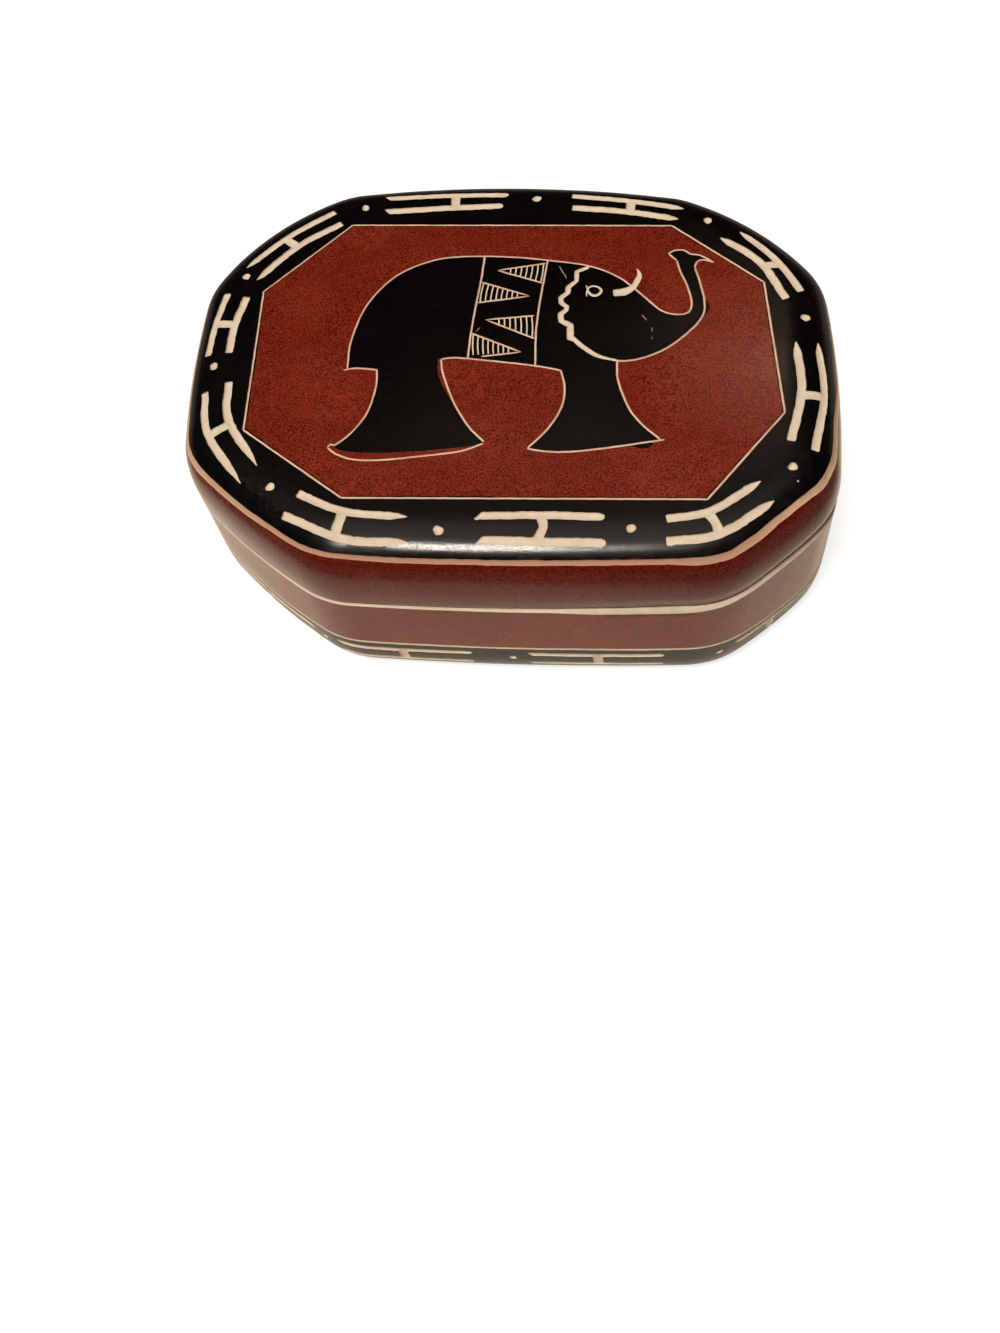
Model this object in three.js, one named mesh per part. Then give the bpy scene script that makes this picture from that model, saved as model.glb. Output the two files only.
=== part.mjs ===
// Carved soapstone trinket box: a hollow base and a lift-off lid with one outline, a rectangle whose
// corners are cut off. Millimetres, +Z up, +X along the length, -Y to the front.
// The origin is on the surface that the box stands on, under its middle.
import * as THREE from 'three';

// Outline, shared by the lid and the base at their widest. The length and the width are taken at the
// middles of opposite sides. A corner's cut is measured along both of its sides from the square corner.
const length = 127;
const width = 99.7;
const cornerRadius = 18.6;
const cornerCuts = { backRight: 31.6, backLeft: 24.6, frontLeft: 31.8, frontRight: 21.4 };

// The outline was cut by eye, so each side leans out of true by some degrees, positive anticlockwise from
// above, and swells in its middle by up to a few millimetres. No side is quite straight, so no swell is 0.
const sideLean = {
  right: -1.7,
  backRight: 0.9,
  back: -5.3,
  backLeft: 0.3,
  left: 2.7,
  frontLeft: 3.9,
  front: -2.2,
  frontRight: -4,
};
const sideSwell = {
  right: 0.7,
  backRight: 1.4,
  back: 2.4,
  backLeft: 1.8,
  left: 0.6,
  frontLeft: 0.6,
  front: 0.8,
  frontRight: 0.3,
};

// Lid: a low upright wall, a shoulder that rolls over from it, and a field that swells to a low crown
const lidWallHeight = 1.3;
const shoulderInset = 11.5;
const shoulderDrop = 13.1;
const shoulderSquareness = 3;
const crownRise = 0.8;

// Base: its height up to the seam, and a foot that tucks in below its wall
const seamHeight = 23.8;
const footInset = 5.9;
const footRise = 9.2;
const footSquareness = 3;

// Hollows
const wallThickness = 7;
const floorThickness = 6.5;
const ceilingThickness = 6;
const floorFillet = 4;
const ceilingFillet = 3.5;

// Seat: a lip round the base's hollow stands inside a rebate in the lid, and the two rims meet at the seam
const lipThickness = 3.1;
const lipHeight = 3;
const lipClearance = 0.35;
const lipHeadroom = 0.5;
const seatGap = 0.3;
const rimEase = 0.6;
const lipEase = 0.4;

// Fineness of the surfaces
const arcSteps = 4;
const shoulderSteps = 10;
const footSteps = 7;
const filletSteps = 4;
const crownSteps = 4;

// What follows from those sizes: the lid stands on the base, and its rebate takes the base's lip
const lidRim = seamHeight + seatGap;
const shoulderFoot = lidRim + lidWallHeight;
const fieldHeight = shoulderFoot + shoulderDrop;
const lipInset = wallThickness - lipThickness;
const rebateInset = lipInset - lipClearance;
const lipTop = seamHeight + lipHeight;
const rebateTop = lipTop + lipHeadroom;
const ceilingHeight = fieldHeight + crownRise - ceilingThickness;

// Sides in order round the outline, each with the direction that it faces and its distance from the middle
function outlineSides() {
  const squareReach = (length + width) / 2;
  const cutReach = (cut) => (squareReach - cut) / Math.SQRT2;
  const reach = {
    right: length / 2 - sideSwell.right,
    backRight: cutReach(cornerCuts.backRight),
    back: width / 2 - sideSwell.back,
    backLeft: cutReach(cornerCuts.backLeft),
    left: length / 2 - sideSwell.left,
    frontLeft: cutReach(cornerCuts.frontLeft),
    front: width / 2 - sideSwell.front,
    frontRight: cutReach(cornerCuts.frontRight),
  };
  return Object.keys(reach).map((name, index) => ({
    angle: (index * Math.PI) / 4 + THREE.MathUtils.degToRad(sideLean[name]),
    distance: reach[name],
    swell: sideSwell[name],
  }));
}

// Where the corner between two neighbouring sides has the middle of its rounding
function cornerMiddle(first, second) {
  const a = first.distance - cornerRadius;
  const b = second.distance - cornerRadius;
  const turn = Math.sin(second.angle - first.angle);
  return new THREE.Vector2(
    (a * Math.sin(second.angle) - b * Math.sin(first.angle)) / turn,
    (b * Math.cos(first.angle) - a * Math.cos(second.angle)) / turn,
  );
}

// The wide arc of a side, tangent to the roundings at both of its ends
function sideArc(side, from, to) {
  const half = from.distanceTo(to) / 2;
  const reach = (half * half + side.swell * side.swell) / (2 * side.swell);
  const along = to.clone().sub(from).normalize();
  const outward = new THREE.Vector2(along.y, -along.x);
  const middle = from.clone().add(to).divideScalar(2).addScaledVector(outward, side.swell - reach);
  const start = from.clone().sub(middle).angle();
  const end = to.clone().sub(middle).angle();
  return { middle, reach, start, end };
}

// Going anticlockwise, an arc ends past its start
function unwound(arc) {
  return arc.end > arc.start ? arc : { ...arc, end: arc.end + 2 * Math.PI };
}

// Points along an arc drawn in by inset, without its last, where the next arc starts
function arcPoints(arc, inset) {
  const radius = arc.reach + cornerRadius - inset;
  const curve = new THREE.EllipseCurve(arc.middle.x, arc.middle.y, radius, radius, arc.start, arc.end);
  return curve.getPoints(arcSteps).slice(0, -1);
}

// The outline as tangent arcs, a wide one for each side and a tight one for each corner, about the origin
function outlineArcs() {
  const sides = outlineSides();
  const corners = sides.map((side, index) => cornerMiddle(side, sides[(index + 1) % sides.length]));
  const wide = sides.map((side, index) => sideArc(side, corners.at(index - 1), corners[index]));
  const arcs = wide.flatMap((arc, index) => {
    const next = wide[(index + 1) % wide.length];
    return [unwound(arc), unwound({ middle: corners[index], reach: 0, start: arc.end, end: next.start })];
  });
  const extent = new THREE.Box2().setFromPoints(arcs.flatMap((arc) => arcPoints(arc, 0)));
  const offset = extent.getCenter(new THREE.Vector2());
  return arcs.map((arc) => ({ ...arc, middle: arc.middle.clone().sub(offset) }));
}

const outline = outlineArcs();

// One closed ring of points: the outline drawn in by inset, at a height, shrunk towards the middle by scale
function outlineRing({ inset, height, scale = 1 }) {
  const points = outline.flatMap((arc) => arcPoints(arc, inset));
  return points.map((point) => [point.x * scale, point.y * scale, height]);
}

// A closed body swept round the outline, as a turned body is swept round a circle. The profile runs from
// the middle of its first face, out and back, to the middle of its last.
function sweepRoundOutline(profile) {
  const rings = profile.map(outlineRing);
  const ringSize = rings[0].length;
  const positions = rings.flat(2);
  const firstMiddle = rings.length * ringSize;
  const lastMiddle = firstMiddle + 1;
  positions.push(0, 0, profile[0].height);
  positions.push(0, 0, profile.at(-1).lastHeight ?? profile.at(-1).height);

  const triangles = [];
  const lastRing = firstMiddle - ringSize;
  for (let point = 0; point < ringSize; point += 1) {
    const next = (point + 1) % ringSize;
    triangles.push(firstMiddle, next, point);
    for (let start = 0; start < lastRing; start += ringSize) {
      const above = start + ringSize;
      triangles.push(start + point, start + next, above + next);
      triangles.push(start + point, above + next, above + point);
    }
    triangles.push(lastMiddle, lastRing + point, lastRing + next);
  }

  const geometry = new THREE.BufferGeometry();
  geometry.setAttribute('position', new THREE.Float32BufferAttribute(positions, 3));
  geometry.setIndex(triangles);
  geometry.computeVertexNormals();
  return geometry;
}

// A squared-off quarter of an ellipse from the upright wall to a level face, given as inset and drop
function rolledEdge(insetReach, dropReach, squareness, steps) {
  const points = [];
  for (let step = 0; step <= steps; step += 1) {
    const turn = (step / steps) * (Math.PI / 2);
    const across = Math.cos(turn) ** (2 / squareness);
    const along = Math.sin(turn) ** (2 / squareness);
    points.push({ inset: insetReach * (1 - across), rise: dropReach * along });
  }
  return points;
}

// The round between a hollow's wall and its floor or ceiling. Direction is 1 where the level face is above.
function hollowRound(levelHeight, radius, direction) {
  const points = [];
  for (let step = 0; step <= filletSteps; step += 1) {
    const turn = (step / filletSteps) * (Math.PI / 2);
    points.push({
      inset: wallThickness + radius * (1 - Math.cos(turn)),
      height: levelHeight - direction * radius * (1 - Math.sin(turn)),
    });
  }
  return points;
}

function baseProfile() {
  const foot = rolledEdge(footInset, footRise, footSquareness, footSteps)
    .map(({ inset, rise }) => ({ inset, height: footRise - rise }))
    .reverse();
  return [
    ...foot,
    { inset: 0, height: seamHeight - rimEase },
    { inset: rimEase, height: seamHeight },
    { inset: lipInset, height: seamHeight },
    { inset: lipInset, height: lipTop - lipEase },
    { inset: lipInset + lipEase, height: lipTop },
    { inset: wallThickness - lipEase, height: lipTop },
    { inset: wallThickness, height: lipTop - lipEase },
    ...hollowRound(floorThickness, floorFillet, -1),
  ];
}

function lidProfile() {
  const shoulder = rolledEdge(shoulderInset, shoulderDrop, shoulderSquareness, shoulderSteps)
    .map(({ inset, rise }) => ({ inset, height: shoulderFoot + rise }));
  const crown = [];
  for (let step = 1; step < crownSteps; step += 1) {
    const scale = 1 - step / crownSteps;
    const rise = (crownRise * (1 + Math.cos(Math.PI * scale))) / 2;
    crown.push({ inset: shoulderInset, height: fieldHeight + rise, scale });
  }
  crown.at(-1).lastHeight = fieldHeight + crownRise;
  return [
    ...hollowRound(ceilingHeight, ceilingFillet, 1).reverse(),
    { inset: wallThickness, height: rebateTop },
    { inset: rebateInset, height: rebateTop },
    { inset: rebateInset, height: lidRim + lipEase },
    { inset: rebateInset - lipEase, height: lidRim },
    { inset: rimEase, height: lidRim },
    { inset: 0, height: lidRim + rimEase },
    ...shoulder,
    ...crown,
  ];
}

// Both halves are one stone, dyed red-brown and waxed. The lid's carved top carries more black dye.
function dyedStone(color) {
  return new THREE.MeshStandardMaterial({ color, roughness: 0.42, metalness: 0 });
}

const base = new THREE.Mesh(sweepRoundOutline(baseProfile()), dyedStone(0x6a3a30));
base.name = 'base';

const lid = new THREE.Mesh(sweepRoundOutline(lidProfile()), dyedStone(0x7a3426));
lid.name = 'lid';

const box = new THREE.Group();
box.name = 'trinket_box';
box.add(base, lid);

export default box;
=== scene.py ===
"""A carved soapstone trinket box: a hollow base and a lift-off lid of one hand-cut outline.

The stone is dyed red-brown and black, the ornament is gouged and scratched through the dye to the bare
stone, and the outside is waxed. Sizes are millimetres until a piece is finished, and then metres.
"""
import logging
import math
import random
from collections.abc import Callable, Iterable, Sequence
from dataclasses import dataclass, replace
from enum import Enum
from functools import cached_property, partial

import bmesh
import bpy
import numpy as np
from mathutils import Matrix, Vector, noise
from mathutils.bvhtree import BVHTree


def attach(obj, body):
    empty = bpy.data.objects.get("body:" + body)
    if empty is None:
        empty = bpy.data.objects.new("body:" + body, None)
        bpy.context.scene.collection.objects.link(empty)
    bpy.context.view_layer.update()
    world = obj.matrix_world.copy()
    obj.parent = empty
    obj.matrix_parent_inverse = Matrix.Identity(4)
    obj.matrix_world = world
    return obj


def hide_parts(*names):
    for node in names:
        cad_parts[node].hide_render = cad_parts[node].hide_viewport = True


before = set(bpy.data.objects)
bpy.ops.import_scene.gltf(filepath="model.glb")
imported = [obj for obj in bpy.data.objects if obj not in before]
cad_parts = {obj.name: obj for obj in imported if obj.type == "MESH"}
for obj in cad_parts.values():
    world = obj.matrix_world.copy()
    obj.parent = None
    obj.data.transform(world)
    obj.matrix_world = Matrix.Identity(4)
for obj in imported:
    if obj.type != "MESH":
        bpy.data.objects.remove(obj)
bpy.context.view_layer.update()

log = logging.getLogger("trinket_box")

MM = 0.001
FULL_TURN = 2 * math.pi

Point = tuple[float, float]
Line = tuple[Point, ...]
Triple = tuple[float, float, float]
Colour = Triple
Socket = bpy.types.NodeSocket
Footing = Callable[[float, float], tuple[Vector, Vector]]

# Roughly how far the wall is from the middle of the box
TYPICAL_REACH = 50


class Zone(Enum):
    """What a face of the stone carries. The value is its place in the piece's list of materials."""

    DYED = 0
    GOUGED = 1
    SCRAPED = 2
    INSIDE = 3
    INCISED = 4


# The outline


@dataclass(frozen=True)
class Side:
    """One side of the outline.

    Attributes:
        facing: Direction that the side would face if it were true, in degrees from +X.
        lean: How far it is turned out of true, in degrees.
        swell: How far its middle stands out past a straight line.
        cut: For a cut corner, how far the cut runs along both sides from the square corner.
    """

    facing: float
    lean: float
    swell: float
    cut: float | None = None


@dataclass(frozen=True)
class Arc:
    """One arc of the outline, with its middle, radius, first angle, turn and place along the outline."""

    middle: Vector
    radius: float
    first: float
    turn: float
    begins: float

    @property
    def run(self) -> float:
        """Length of the arc."""
        return self.radius * self.turn

    def faces(self, bearing: float) -> bool:
        """Whether some point of the arc faces a bearing."""
        return (bearing - self.first) % FULL_TURN <= self.turn

    def at(self, bearing: float, inset: float = 0.0) -> Vector:
        """Point that faces a bearing, drawn in by an inset."""
        return self.middle + _direction(bearing) * (self.radius - inset)


@dataclass(frozen=True)
class Outline:
    """The hand-cut octagon of the lid and the base, measured anticlockwise from the front's middle."""

    length: float = 127.0
    width: float = 99.7
    corner_radius: float = 18.6
    sides: tuple[Side, ...] = (
        Side(0, -1.7, 0.7),
        Side(45, 0.9, 1.4, cut=31.6),
        Side(90, -5.3, 2.4),
        Side(135, 0.3, 1.8, cut=24.6),
        Side(180, 2.7, 0.6),
        Side(225, 3.9, 0.6, cut=31.8),
        Side(270, -2.2, 0.8),
        Side(315, -4.0, 0.3, cut=21.4),
    )

    def reach(self, side: Side) -> float:
        """Finds how far a side's straight line is from the middle of the box.

        Args:
            side: The side.

        Returns:
            The distance, square to the side.
        """
        if side.cut is not None:
            return ((self.length + self.width) / 2 - side.cut) / math.sqrt(2)
        across = self.length if side.facing % 180 == 0 else self.width
        return across / 2 - side.swell

    def corner(self, first: Side, second: Side) -> Vector:
        """Finds the middle of the rounding between two neighbouring sides.

        Args:
            first: The side before the corner.
            second: The side after it.

        Returns:
            The middle of the corner's arc.
        """
        a = math.radians(first.facing + first.lean)
        b = math.radians(second.facing + second.lean)
        near = self.reach(first) - self.corner_radius
        far = self.reach(second) - self.corner_radius
        turn = math.sin(b - a)
        x = (near * math.sin(b) - far * math.sin(a)) / turn
        y = (far * math.cos(a) - near * math.cos(b)) / turn
        return Vector((x, y))

    @cached_property
    def arcs(self) -> list[Arc]:
        """Lays out the tangent arcs, a wide one for each side and a tight one for each corner.

        Returns:
            The arcs, anticlockwise, with the middle of their box at the origin.
        """
        count = len(self.sides)
        corners = [self.corner(side, self.sides[(i + 1) % count]) for i, side in enumerate(self.sides)]
        wide = []
        for i, side in enumerate(self.sides):
            start, end = corners[i - 1], corners[i]
            half = (end - start).length / 2
            reach = (half**2 + side.swell**2) / (2 * side.swell)
            along = (end - start).normalized()
            outward = Vector((along.y, -along.x))
            middle = (start + end) / 2 + outward * (side.swell - reach)
            wide.append((middle, reach, _bearing(start - middle), _bearing(end - middle)))
        arcs: list[Arc] = []
        begins = 0.0
        for i, (middle, reach, first, last) in enumerate(wide):
            corner = (corners[i], 0.0, last, wide[(i + 1) % count][2])
            for centre, extra, low, high in ((middle, reach, first, last), corner):
                arc = Arc(centre, extra + self.corner_radius, low, (high - low) % FULL_TURN, begins)
                arcs.append(arc)
                begins += arc.run
        squares = [k * math.pi / 2 for k in range(4)]
        tips = [arc.at(bearing) for arc in arcs for bearing in squares if arc.faces(bearing)]
        shift = Vector([(min(values) + max(values)) / 2 for values in zip(*tips)])
        return [replace(arc, middle=arc.middle - shift) for arc in arcs]

    @cached_property
    def total(self) -> float:
        """Length of the whole outline."""
        return sum(arc.run for arc in self.arcs)

    @cached_property
    def start(self) -> float:
        """Where the front's middle is along the arcs."""
        front = next(arc for arc in self.arcs if arc.faces(1.5 * math.pi))
        return front.begins + front.run / 2

    def stations(self, count: int) -> list[float]:
        """Distances of evenly spaced points."""
        return [self.total * i / count for i in range(count)]

    def place(self, along: float, inset: float) -> Point:
        """Finds a point on the outline.

        Args:
            along: Distance from the front's middle.
            inset: How far inside the outline.

        Returns:
            The point's x and y.
        """
        wanted = (self.start + along) % self.total
        arc = next((a for a in self.arcs if a.begins <= wanted < a.begins + a.run), self.arcs[-1])
        point = arc.at(arc.first + (wanted - arc.begins) / arc.radius, inset)
        return point.x, point.y


def _bearing(vector: Vector) -> float:
    """Angle of a flat vector from +X, from 0 to a full turn."""
    return math.atan2(vector.y, vector.x) % FULL_TURN


def _direction(angle: float) -> Vector:
    """Flat unit vector at an angle from +X."""
    return Vector((math.cos(angle), math.sin(angle)))


# The turned-over profiles, as rings that are drawn in from the outline


@dataclass(frozen=True)
class Ring:
    """One ring of a body.

    Attributes:
        inset: How far inside the outline.
        height: Height above the surface that the box stands on.
        zone: What the strip of faces from the ring before it carries.
        scale: Shrinks the ring towards the middle of the box.
        filed: Share of the base's chamfer that is taken off the height.
        tuck: Share of the lid's tuck that is added to the inset.
        lift: Share of the seam's rise that is added to the height.
    """

    inset: float
    height: float
    zone: Zone
    scale: float = 1.0
    filed: float = 0.0
    tuck: float = 0.0
    lift: float = 0.0


@dataclass(frozen=True)
class Roll:
    """A quarter of an ellipse between an upright wall and a level face, squared off where it is above 2."""

    inset: float
    rise: float
    squareness: float = 2.0

    def at(self, share: float) -> Point:
        """Inset and rise at a share of the turn, from 0 at the wall to 1 at the level face."""
        turn, power = share * math.pi / 2, 2 / self.squareness
        return self.inset * (1 - math.cos(turn) ** power), self.rise * math.sin(turn) ** power

    def steps(self, spacing: float, fineness: int = 400) -> list[Point]:
        """Places points about evenly along the roll.

        Args:
            spacing: Distance between neighbouring points.
            fineness: Number of places that they are chosen from.

        Returns:
            Insets and rises from the wall to the level face, both ends included.
        """
        fine = [Vector(self.at(i / fineness)) for i in range(fineness + 1)]
        kept = [fine[0]]
        for point in fine[1:-1]:
            if (point - kept[-1]).length >= spacing:
                kept.append(point)
        return [(p.x, p.y) for p in [*kept, fine[-1]]]


def straight(start: Ring, end: Ring, spacing: float) -> list[Ring]:
    """Fills the stretch between two rings, leaving the first one out.

    Args:
        start: The ring that is already there.
        end: The ring to reach, whose zone the stretch takes.
        spacing: Greatest distance between neighbouring rings, at the wall.

    Returns:
        The rings after start, up to and with end.
    """
    reach = math.hypot(end.inset - start.inset, end.height - start.height)
    reach = max(reach, abs(end.scale - start.scale) * TYPICAL_REACH)
    count = max(1, math.ceil(reach / spacing))
    rings = []
    for i in range(1, count):
        t = i / count
        inset = start.inset + (end.inset - start.inset) * t
        height = start.height + (end.height - start.height) * t
        rings.append(Ring(inset, height, end.zone, start.scale + (end.scale - start.scale) * t))
    return [*rings, end]


@dataclass(frozen=True)
class Survey:
    """Hand-cut sizes that change along the outline. Each row is a distance from the front and its sizes."""

    stations: tuple[tuple[float, ...], ...]

    def at(self, along: float, total: float) -> tuple[float, ...]:
        """Sizes at a distance along the outline, eased between stations.

        Args:
            along: The distance.
            total: Length of the whole outline.

        Returns:
            The sizes.
        """
        first = self.stations[0][0]
        wanted = first + (along - first) % total
        rows = [*self.stations, (first + total, *self.stations[0][1:])]
        for low, high in zip(rows, rows[1:]):
            if wanted <= high[0]:
                part = (wanted - low[0]) / (high[0] - low[0])
                part = part * part * (3 - 2 * part)
                return tuple(a + (b - a) * part for a, b in zip(low[1:], high[1:]))
        return rows[-1][1:]


@dataclass(frozen=True)
class Seat:
    """The two hollows and how the lid sits on the base."""

    seam: float = 23.8
    wall: float = 7.0
    lip_thickness: float = 3.1
    lip_height: float = 3.0
    clearance: float = 0.35
    headroom: float = 0.5
    gap: float = 0.3
    ease: float = 0.4
    least_filed: float = 0.15
    # How far the file strays, over which length, and in which row of random values
    file_strays: tuple[tuple[float, float, Point], ...] = ((0.1, 19.0, (0.0, 7.0)), (0.06, 4.0, (3.0, 0.0)))
    rims: Survey = Survey(
        (
            (-120.0, 0.15, 0.1, 0.0), (-60.0, 0.15, 0.05, 0.0), (-36.0, 0.2, 0.25, 0.0),
            (-14.0, 0.2, 0.35, 0.0), (4.0, 0.25, 0.5, 0.0), (16.0, 0.75, 0.8, 0.0), (28.0, 0.9, 1.0, 0.1),
            (36.0, 0.65, 0.85, 0.25), (42.0, 0.6, 0.65, 0.8), (50.0, 0.65, 0.75, 1.6),
            (60.0, 0.65, 0.75, 1.7), (70.0, 0.5, 0.65, 1.2), (90.0, 0.3, 0.55, 0.2), (110.0, 0.3, 0.5, 0.0),
            (150.0, 0.45, 0.5, 0.0), (200.0, 0.25, 0.35, 0.0),
        )
    )

    def rim(self, along: float, total: float) -> Triple:
        """Hand-filed sizes of the two rims at a distance along the outline.

        Args:
            along: The distance from the front's middle.
            total: Length of the whole outline.

        Returns:
            The height of the base's chamfer, how far the lid's edge tucks in, and how far the seam rises.
        """
        filed, tuck, lift = self.rims.at(along, total)
        stray = sum(reach * sway(along, size, row) for reach, size, row in self.file_strays)
        return max(self.least_filed, filed + stray), tuck, lift

    @property
    def lid_rim(self) -> float:
        """Height of the lid's rim."""
        return self.seam + self.gap

    @property
    def lip_inset(self) -> float:
        """Inset of the lip's outer face."""
        return self.wall - self.lip_thickness

    @property
    def lip_top(self) -> float:
        """Height of the lip's top."""
        return self.seam + self.lip_height


def sway(along: float, size: float, row: Point) -> float:
    """Random value, about -1 to 1, that changes over a size along the outline. Each row has its own."""
    return noise.noise(Vector((along / size, *row)))


# Cutting tools and strokes


@dataclass(frozen=True)
class Tool:
    """A hand tool, with its groove's width and depth, the step between sections and the hand's wander."""

    width: float
    depth: float
    step: float
    wander: float
    zone: Zone = Zone.GOUGED


class Tools(Enum):
    """The tools that the ornament is cut with."""

    GOUGE = Tool(width=1.6, depth=0.42, step=0.8, wander=0.04)
    FOOT_GOUGE = Tool(width=1.15, depth=0.3, step=0.9, wander=0.04)
    CROSS = Tool(width=1.9, depth=0.40, step=0.8, wander=0.03)
    CHISEL = Tool(width=1.15, depth=0.36, step=0.7, wander=0.02)
    BURIN = Tool(width=0.55, depth=0.2, step=0.35, wander=0.01)
    SCRIBER = Tool(width=0.39, depth=0.19, step=1.0, wander=0.025, zone=Zone.INCISED)
    MARKER = Tool(width=0.6, depth=0.12, step=1.2, wander=0.03)
    HATCHER = Tool(width=0.28, depth=0.13, step=0.9, wander=0.015)
    NEEDLE = Tool(width=0.09, depth=0.03, step=0.9, wander=0.05)
    SCRAPER = Tool(width=1.05, depth=0.18, step=1.4, wander=0.04, zone=Zone.SCRAPED)


@dataclass(frozen=True)
class Tip:
    """How a groove ends.

    Attributes:
        length: Length over which it grows to its full width.
        share: Share of the width that it has at the very end.
        slant: How far the end is cut aslant, as a share of half of the width.
    """

    length: float
    share: float
    slant: float = 0.0

    def growth(self, gone: float) -> float:
        """Share of the full width at a distance from the groove's end."""
        part = min(1.0, max(0.0, gone / self.length))
        return self.share + (1 - self.share) * math.sin(math.pi / 2 * part)


BLUNT = Tip(0.35, 0.78)
ROUND = Tip(0.9, 0.42)
FINE = Tip(0.5, 0.3)
SLANTED = Tip(0.5, 0.72, slant=0.9)
FAINT = Tip(0.3, 0.4)

# Shares of a tip's length at which a groove has sections, and the least distance between two sections
NEAR_TIP = (0.2, 0.5, 0.9)
LEAST_APART = 0.06


def pointed(length: float) -> Tip:
    """A groove's end that runs out to a point over a length."""
    return Tip(length, 0.12)


@dataclass(frozen=True)
class Stroke:
    """One pass of a tool over the surface.

    Attributes:
        points: Control points on the surface, in the surface's own two measures.
        tool: The tool.
        tips: How the groove starts and how it ends.
        closed: Whether the stroke runs round into its own start.
        straight: Whether the tool goes straight from point to point instead of curving through them.
        swell: Share by which each control point widens the groove, or nothing.
    """

    points: Line
    tool: Tools
    tips: tuple[Tip, Tip] = (FINE, FINE)
    closed: bool = False
    straight: bool = False
    swell: tuple[float, ...] = ()

    def path(self) -> list[Triple]:
        """Samples the stroke about once a step of its tool, and closer near its ends.

        Returns:
            The two surface measures and the width's share at each sample.
        """
        shares = self.swell or (1.0,) * len(self.points)
        knots = [Vector((*p, s)) for p, s in zip(self.points, shares)]
        if self.closed:
            knots = [knots[-1], *knots, *knots[:2]]
        else:
            knots = [knots[0] * 2 - knots[1], *knots, knots[-1] * 2 - knots[-2]]
        spans = [knots[i : i + 4] for i in range(len(knots) - 3)]
        samples: list[Vector] = []
        for i, span in enumerate(spans):
            _, here, there, _ = span
            reach = (there - here).to_2d().length
            pieces = max(1, round(reach / self.tool.value.step))
            shifts = [k / pieces for k in range(pieces)]
            if not self.closed and i == 0:
                shifts += [self.tips[0].length * part / reach for part in NEAR_TIP]
            if not self.closed and i == len(spans) - 1:
                shifts += [1 - self.tips[1].length * part / reach for part in NEAR_TIP]
            for t in spread(shifts, LEAST_APART / reach):
                samples.append(here.lerp(there, t) if self.straight else glide(span, t))
        if not self.closed:
            samples.append(knots[-2])
        return [tuple(sample) for sample in samples]


def spread(shifts: Iterable[float], apart: float) -> list[float]:
    """Sorts shares of a stretch, and drops those that are outside it or too close together.

    Args:
        shifts: The shares, 0 among them.
        apart: Least distance between two that are kept.

    Returns:
        The shares from 0 to below 1, rising.
    """
    kept = [0.0]
    for shift in sorted(shifts):
        if shift - kept[-1] >= apart and 1 - shift >= apart:
            kept.append(shift)
    return kept


def glide(knots: Sequence[Vector], t: float) -> Vector:
    """Finds a point on the smooth curve through four knots, between the middle two.

    Args:
        knots: The knots.
        t: Share of the stretch between the middle two.

    Returns:
        The point.
    """
    before, here, there, after = knots
    leaving = (there - before) / 2
    arriving = (after - here) / 2
    a = (here - there) * 2 + leaving + arriving
    b = (there - here) * 3 - leaving * 2 - arriving
    return ((a * t + b) * t + leaving) * t + here


@dataclass(frozen=True)
class Pip:
    """A round dimple between two marks, at a place in the surface's own two measures."""

    place: Point
    size: float = 1.75
    depth: float = 0.5


@dataclass(frozen=True)
class Mark:
    """Two long bars joined by a short one.

    Attributes:
        outer: Control points of the bar on the outer side.
        inner: Control points of the other bar.
        cross: Control points of the joining bar.
        tips: How both bars start and how they end.
        tool: The gouge that cuts the bars.
        waist: Width of the joining bar's middle, as a share.
    """

    outer: Line
    inner: Line
    cross: Line
    tips: tuple[Tip, Tip] = (BLUNT, BLUNT)
    tool: Tools = Tools.GOUGE
    waist: float = 0.82

    def strokes(self) -> list[Stroke]:
        """Lays out the mark.

        Returns:
            The two bars and the joining one, which is narrower in its middle.
        """
        bars = [Stroke(bar, self.tool, self.tips) for bar in (self.outer, self.inner)]
        swell = (1.0, *(self.waist,) * (len(self.cross) - 2), 1.0)
        return [*bars, Stroke(self.cross, Tools.CROSS, (BLUNT, BLUNT), swell=swell)]


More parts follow.
